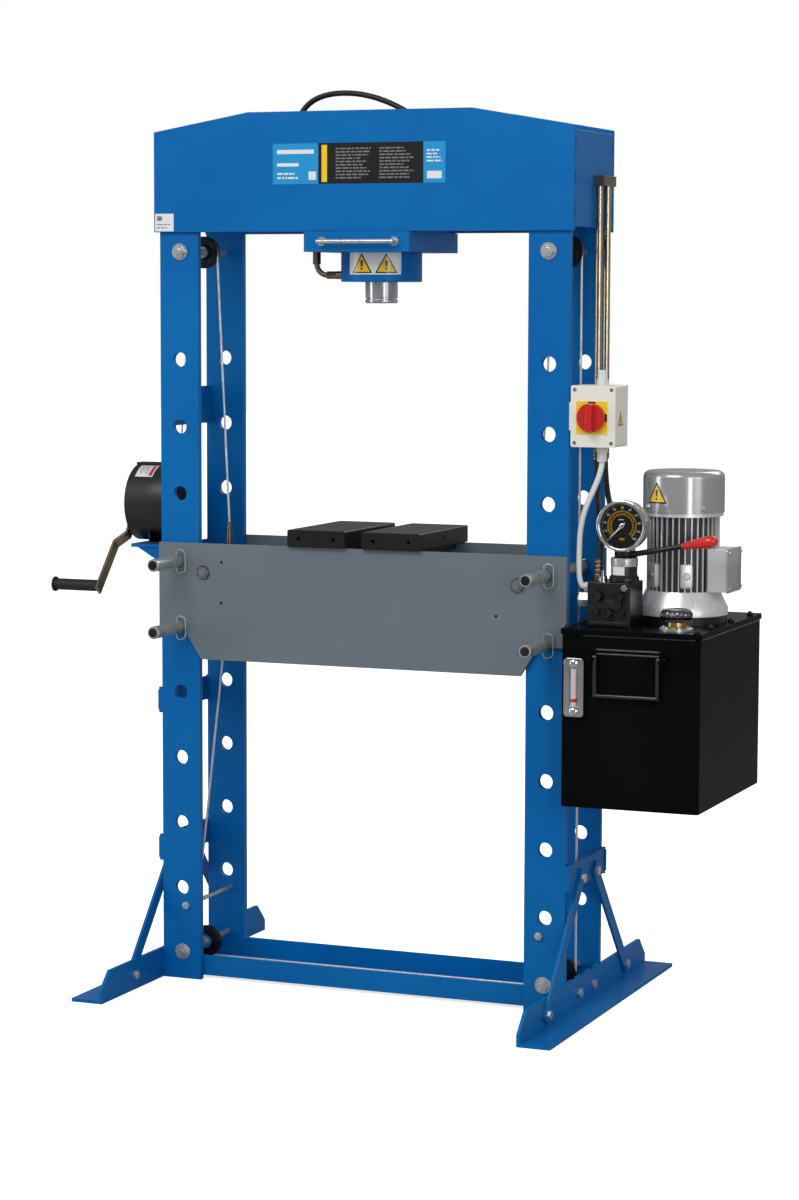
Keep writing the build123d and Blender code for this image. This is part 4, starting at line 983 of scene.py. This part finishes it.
piece("cable_plug_nut", "frame", gland_white,
      hex_head(at(0.5165, -0.100, lid_top + 0.081), (1, 0, 0), 0.019, 0.008))

# %% Motor: base ring, bolts, lifting pads and terminal lid
motor = np.array((cowl_mid[0], cowl_mid[1], lid_top))
piece("motor_ring", "frame", cast_black,
      ring_around([(0.090, 0), (0.0965, 0), (0.0965, 0.0165), (0.0955, 0.0178), (0.090, 0.0178)],
                  motor, (0, 0, 1), 96))
flange_bolts, pads = [], []
bolt_circle = 0.0895
for k in range(8):
    a = math.radians(22.5 + 45 * k)
    spot = motor + (bolt_circle * math.cos(a), bolt_circle * math.sin(a), 0.0320)
    flange_bolts.append(hex_head(spot, (0, 0, 1), 0.012, 0.006, a))
    flange_bolts.append(washer(spot, (0, 0, 1), 0.004, 0.0095, 0.0014))
for turn_at in (-125, -68, 55, 125):
    a = math.radians(turn_at)
    outward = np.array((math.cos(a), math.sin(a), 0))
    sideways = np.array((-math.sin(a), math.cos(a), 0))
    spot = motor + outward * 0.070 + (0, 0, 0.105)
    pads.append(slab(rounded(0.026, 0.052, 0.005), spot, sideways, (0, 0, 1), 0.016, 0.0015))
    flange_bolts.append(hex_head(spot + outward * 0.016, outward, 0.011, 0.005))
    flange_bolts.append(washer(spot + outward * 0.016, outward, 0.003, 0.0085, 0.0014))
piece("motor_pads", "frame", silver_paint, *pads, slot="silver_paint")
terminal = np.array((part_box("motor_body")[1].x, motor[1], lid_top + 0.1165))
piece("terminal_lid", "frame", cowl_silver,
      slab(rounded(0.104, 0.095, 0.006), terminal, (0, 1, 0), (0, 0, 1), 0.0035, 0.001), slot="silver_paint")
for y in (-0.042, 0.042):
    for z in (-0.038, 0.038):
        flange_bolts.append(hex_head(terminal + (0.0035, y, z), (1, 0, 0), 0.008, 0.0035))
for k in range(4):
    a = math.radians(45 + 90 * k)
    outward = np.array((math.cos(a), math.sin(a), 0))
    flange_bolts.append(hex_head(motor + outward * cowl_r + (0, 0, 0.251), outward, 0.009, 0.004))
piece("motor_bolts", "frame", zinc_steel, *flange_bolts, slot="zinc_steel")

# %% Tank: level tube, filler neck and weld runs
tank_low, tank_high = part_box("tank")
level_low, level_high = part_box("level_gauge")
level_x = (level_low.x + level_high.x) / 2
glass_z = (level_low.z + 0.022, level_high.z - 0.022)
tall = glass_z[1] - glass_z[0]
window = np.array((level_x, level_low.y + 0.006, (glass_z[0] + glass_z[1]) / 2))
piece("level_back", "frame", grey_print, laid(film(0.019, tall, lift=0.0), window))
piece("level_glass", "frame", level_tube,
      turned([(0, 0), (0.0062, 0), (0.0062, tall), (0, tall)],
             (level_x, level_low.y + 0.001, glass_z[0]), (0, 0, 1), 32))
piece("level_mark", "frame", red_plastic,
      ring_around([(0.0060, 0), (0.0066, 0), (0.0066, 0.007), (0.0060, 0.007)],
                  (level_x, level_low.y + 0.001, glass_z[0] + 0.010), (0, 0, 1), 32))
dome = [(0.0094, 0), (0.0096, 0.0025), (0.0084, 0.0055), (0.0052, 0.0075), (0, 0.0082)]
piece("level_bolts", "frame", chrome,
      turned(dome, (level_x, level_low.y, level_low.z + 0.011), toward_us, 32),
      turned(dome, (level_x, level_low.y, level_high.z - 0.011), toward_us, 32))

cap_low, cap_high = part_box("filler_cap")
filler = np.array(((cap_low.x + cap_high.x) / 2, (cap_low.y + cap_high.y) / 2, lid_top))
piece("filler_flange", "frame", zinc_steel,
      ring_around([(0.019, 0), (0.0360, 0), (0.0360, 0.0048), (0.0350, 0.0056), (0.019, 0.0056)],
                  filler, (0, 0, 1), 64),
      *[hex_head(filler + (0.0285 * math.cos(a), 0.0285 * math.sin(a), 0.0056), (0, 0, 1), 0.006, 0.003)
        for a in np.linspace(0, 2 * np.pi, 6, endpoint=False)])
piece("filler_neck", "frame", brass,
      ring_around([(0.0195, 0.005), (0.0215, 0.005), (0.0228, 0.009), (0.0215, 0.0138), (0.0215, 0.0195),
                   (0.0195, 0.0195)], filler, (0, 0, 1), 64))


def knurled_cap(place, radius, low, high):
    """A filler cap: a cushion shape whose side is scalloped for the fingers."""
    lobes = 22
    a = np.linspace(0, 2 * np.pi, lobes * 8, endpoint=False)
    rows = []
    for share in np.linspace(0, 1, 14):
        side = math.sin(math.pi * (0.16 + 0.60 * share)) ** 0.5
        scallop = 0.0011 * math.sin(math.pi * share) ** 0.5 * np.cos(lobes * a)
        r = radius * side + scallop
        z = low + (high - low) * share
        rows.append(np.stack([r * np.cos(a), r * np.sin(a), np.full_like(a, z)], -1))
    for share, rise in ((0.72, 0.0006), (0.66, -0.0008), (0.30, -0.0012), (0.02, -0.0012)):
        r = radius * share
        rows.append(np.stack([r * np.cos(a), r * np.sin(a), np.full_like(a, high + rise)], -1))
    return skin(np.array(rows) + place)


cap = piece("knurled_cap", "cap", dark_chrome, knurled_cap(filler, 0.0335, 0.0185, 0.0445),
            slot="black_plastic")
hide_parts("filler_cap")
bail_low, bail_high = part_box("tank_bail")
tank_front, lid_seam = -0.200, 0.8415
seams = []
for rise, radius in ((0.010, 0.0030), (0.001, 0.0026)):
    z = bail_high.z + rise
    seams.append(((bail_low.x + 0.012, tank_front, z), (bail_high.x - 0.012, tank_front, z), radius))
seams.append(((tank_low.x + 0.06, tank_front, lid_seam), (tank_high.x - 0.008, tank_front, lid_seam), 0.0022))
seams.append(((tank_high.x, -0.190, lid_seam), (tank_high.x, 0.262, lid_seam), 0.0022))
piece("tank_welds", "frame", gloss_black, *[weld_bead(*seam, seed=k) for k, seam in enumerate(seams, 1)])

# %% [markdown]
# ## Fasteners and welds on the frame
# The press is the same on its left and right and on its front and rear, so its washers and
# weld beads come from loops over the two sides and the two faces. What sits on the bed or on
# a pin rides with that body, and the rest stays with the frame.

# %% Washers, bead welds, pin ends and sheave hubs
axle_washers, lug_washers = [], []
for side in (-1, 1):
    for way in (-1, 1):
        for z in (1.650, 0.062):
            spot = at(side * 0.436, way * 0.125, z)
            axle_washers.append(washer(spot, (0, way, 0), 0.0072, 0.0185, 0.0028, 0.0006, 56))
        spot = at(side * 0.375, way * 0.136, 0.934)
        lug_washers.append(washer(spot, (0, way, 0), 0.0085, 0.0160, 0.0016, 0.0004, 56))
piece("axle_washers", "frame", zinc_steel, *axle_washers, slot="zinc_steel")
piece("lug_washers", "bed", fitting_zinc, *lug_washers, slot="zinc_steel")

beads = []
for side in (-1, 1):
    for z in (0.272, 0.328, 0.612, 0.666):
        for face in (-1, 1):
            beads.append(((side * 0.485, face * 0.113, z), (side * 0.4935, face * 0.1245, z)))
    for face in (-1, 1):
        for low, high in ((0.275, 0.325), (0.615, 0.663)):
            beads.append(((side * 0.4938, face * 0.1230, low), (side * 0.4938, face * 0.1230, high)))
        beads.append(((side * 0.4860, face * 0.1245, 1.715), (side * 0.4945, face * 0.1245, 1.715)))
        for low in (1.72, 1.79, 1.86):
            beads.append(((side * 0.4945, face * 0.1240, low), (side * 0.4945, face * 0.1240, low + 0.030)))
    for y in (-0.118, -0.060, 0.0, 0.060):
        beads.append(((side * 0.4865, y, 0.0685), (side * 0.4865, y + 0.035, 0.0685)))
piece("frame_welds", "frame", blue_paint,
      *[weld_bead(at(*a), at(*b), 0.0024, seed=k) for k, (a, b) in enumerate(beads)], slot="frame_blue")

pin_bodies = {"pin_high_left": "pin_hl", "pin_low_left": "pin_ll",
              "pin_high_right": "pin_hr", "pin_low_right": "pin_lr"}
for node, body in pin_bodies.items():
    pin_low, pin_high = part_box(node)
    middle = np.array((pin_low.x + 0.014, pin_low.y, (pin_low.z + pin_high.z) / 2))
    # Painted shade: a dark steel disc inside each pin end's rim stands in for the shade there.
    piece(f"{node}_face", body, dark_steel,
          turned([(0, 0), (0.0105, 0), (0.0105, 0.0003), (0, 0.0003)], middle, toward_us, 40),
          slot="zinc_steel")
    piece(f"{node}_rim", body, zinc_steel,
          ring_around([(0.0102, 0), (0.0138, -0.0014), (0.0142, -0.004), (0.0142, -0.010), (0.0138, -0.010),
                       (0.0120, 0.0008), (0.0104, 0.0008)], middle, toward_us, 48), slot="zinc_steel")
hub_profile = [(0, 0), (0.0150, 0), (0.0165, 0.0015), (0.0165, 0.0035), (0.0150, 0.005), (0, 0.005)]
piece("low_hub_cover", "low_left_sheave", blue_paint,
      turned(hub_profile, at(-0.436, -0.007, 0.062), toward_us, 48))

marks = [turned([(0, 0), (0.0032, 0), (0.0030, 0.0006), (0, 0.0006)], at(x, -0.136, z), toward_us, 20)
         for x, z in ((-0.331, 0.867), (-0.330, 0.959), (0.326, 0.866))]
piece("bed_dimples", "bed", dark_steel, *marks)

screws = []
for x in (switch_low.x + 0.009, switch_high.x - 0.009):
    for z in (switch_low.z + 0.009, switch_high.z - 0.009):
        screws.append(turned([(0, 0), (0.0042, 0), (0.0040, 0.0010), (0.0018, 0.0014), (0.0016, 0.0004),
                              (0, 0.0004)], (x, switch_low.y + 0.0016, z), toward_us, 24))
piece("switch_screws", "frame", grey_print, *screws)

# %% [markdown]
# ## Studio
# The press stands on a pale floor in an even, soft light. One large lamp in front and above
# gives the paint its tone, a second one on the right fills the shadows, a third behind lights
# the far edges, and tall narrow lamps at the sides put the bright lines on tubes and fins. The
# floor and the sky are white where they are looked at, and dimmer in what they light.


# %% Floor, lamps and sky
def lamp(name, place, target, size, power):
    """A rectangular lamp that faces a point."""
    light = bpy.data.lights.new(name, "AREA")
    light.shape = "RECTANGLE"
    light.size, light.size_y = size
    light.energy = power
    made = bpy.data.objects.new(name, light)
    made.location = place
    made.rotation_euler = (Vector(target) - Vector(place)).to_track_quat("-Z", "Y").to_euler()
    bpy.context.scene.collection.objects.link(made)


lamp("key", (-0.6, -4.0, 4.4), (0, 0, 1.3), (3.0, 2.0), 104)
lamp("fill", (4.6, -2.6, 2.0), (0.2, 0, 0.9), (1.6, 2.6), 21)
lamp("left_strip", (-3.6, -2.4, 1.8), (0, 0, 1.0), (0.6, 3.2), 28)
lamp("back", (1.2, 3.6, 3.6), (0, 0, 1.2), (3.0, 1.2), 42)
lamp("right_strip", (3.0, -3.4, 1.6), (0.6, 0, 1.0), (0.25, 2.2), 22)

floor_finish = Finish("floor")
straight_on = floor_finish.node("ShaderNodeLightPath", out="Is Camera Ray")
floor_tone = floor_finish.blend(straight_on, tint(165, 165, 165), tint(250, 250, 250))
floor_rough = 0.9 + 0.05 * floor_finish.noise(0.5)
floor_glow = floor_finish.blend(straight_on, (0, 0, 0, 1), (1, 1, 1, 1))
floor_white = floor_finish.surface(Base_Color=floor_tone, Roughness=floor_rough,
                                   Emission_Color=floor_glow, Emission_Strength=0.75)
reach, below = 30, -0.0002
corners = np.array([(x * reach, y * reach, below) for x, y in ((-1, -1), (1, -1), (1, 1), (-1, 1))])
floor = piece("floor", "", floor_white, (corners, [[0, 1, 2, 3]]), ride=False)

sky = bpy.data.worlds.new("studio")
sky.use_nodes = True
sky_nodes, sky_links = sky.node_tree.nodes, sky.node_tree.links
background = sky_nodes["Background"]
background.inputs["Color"].default_value = (1, 1, 1, 1)
rays = sky_nodes.new("ShaderNodeLightPath")


def strength_for(ray, strength):
    """A Mix node that gives one kind of ray its own strength. Its input 2 is for the others."""
    choice = sky_nodes.new("ShaderNodeMix")
    sky_links.new(rays.outputs[ray], choice.inputs[0])
    choice.inputs[3].default_value = strength
    return choice


mirrored = strength_for("Is Glossy Ray", 0.28)
mirrored.inputs[2].default_value = 0.50
looked_at = strength_for("Is Camera Ray", 1.0)
sky_links.new(mirrored.outputs[0], looked_at.inputs[2])
sky_links.new(looked_at.outputs[0], background.inputs["Strength"])
bpy.context.scene.world = sky
bpy.context.scene.view_settings.view_transform = "Standard"
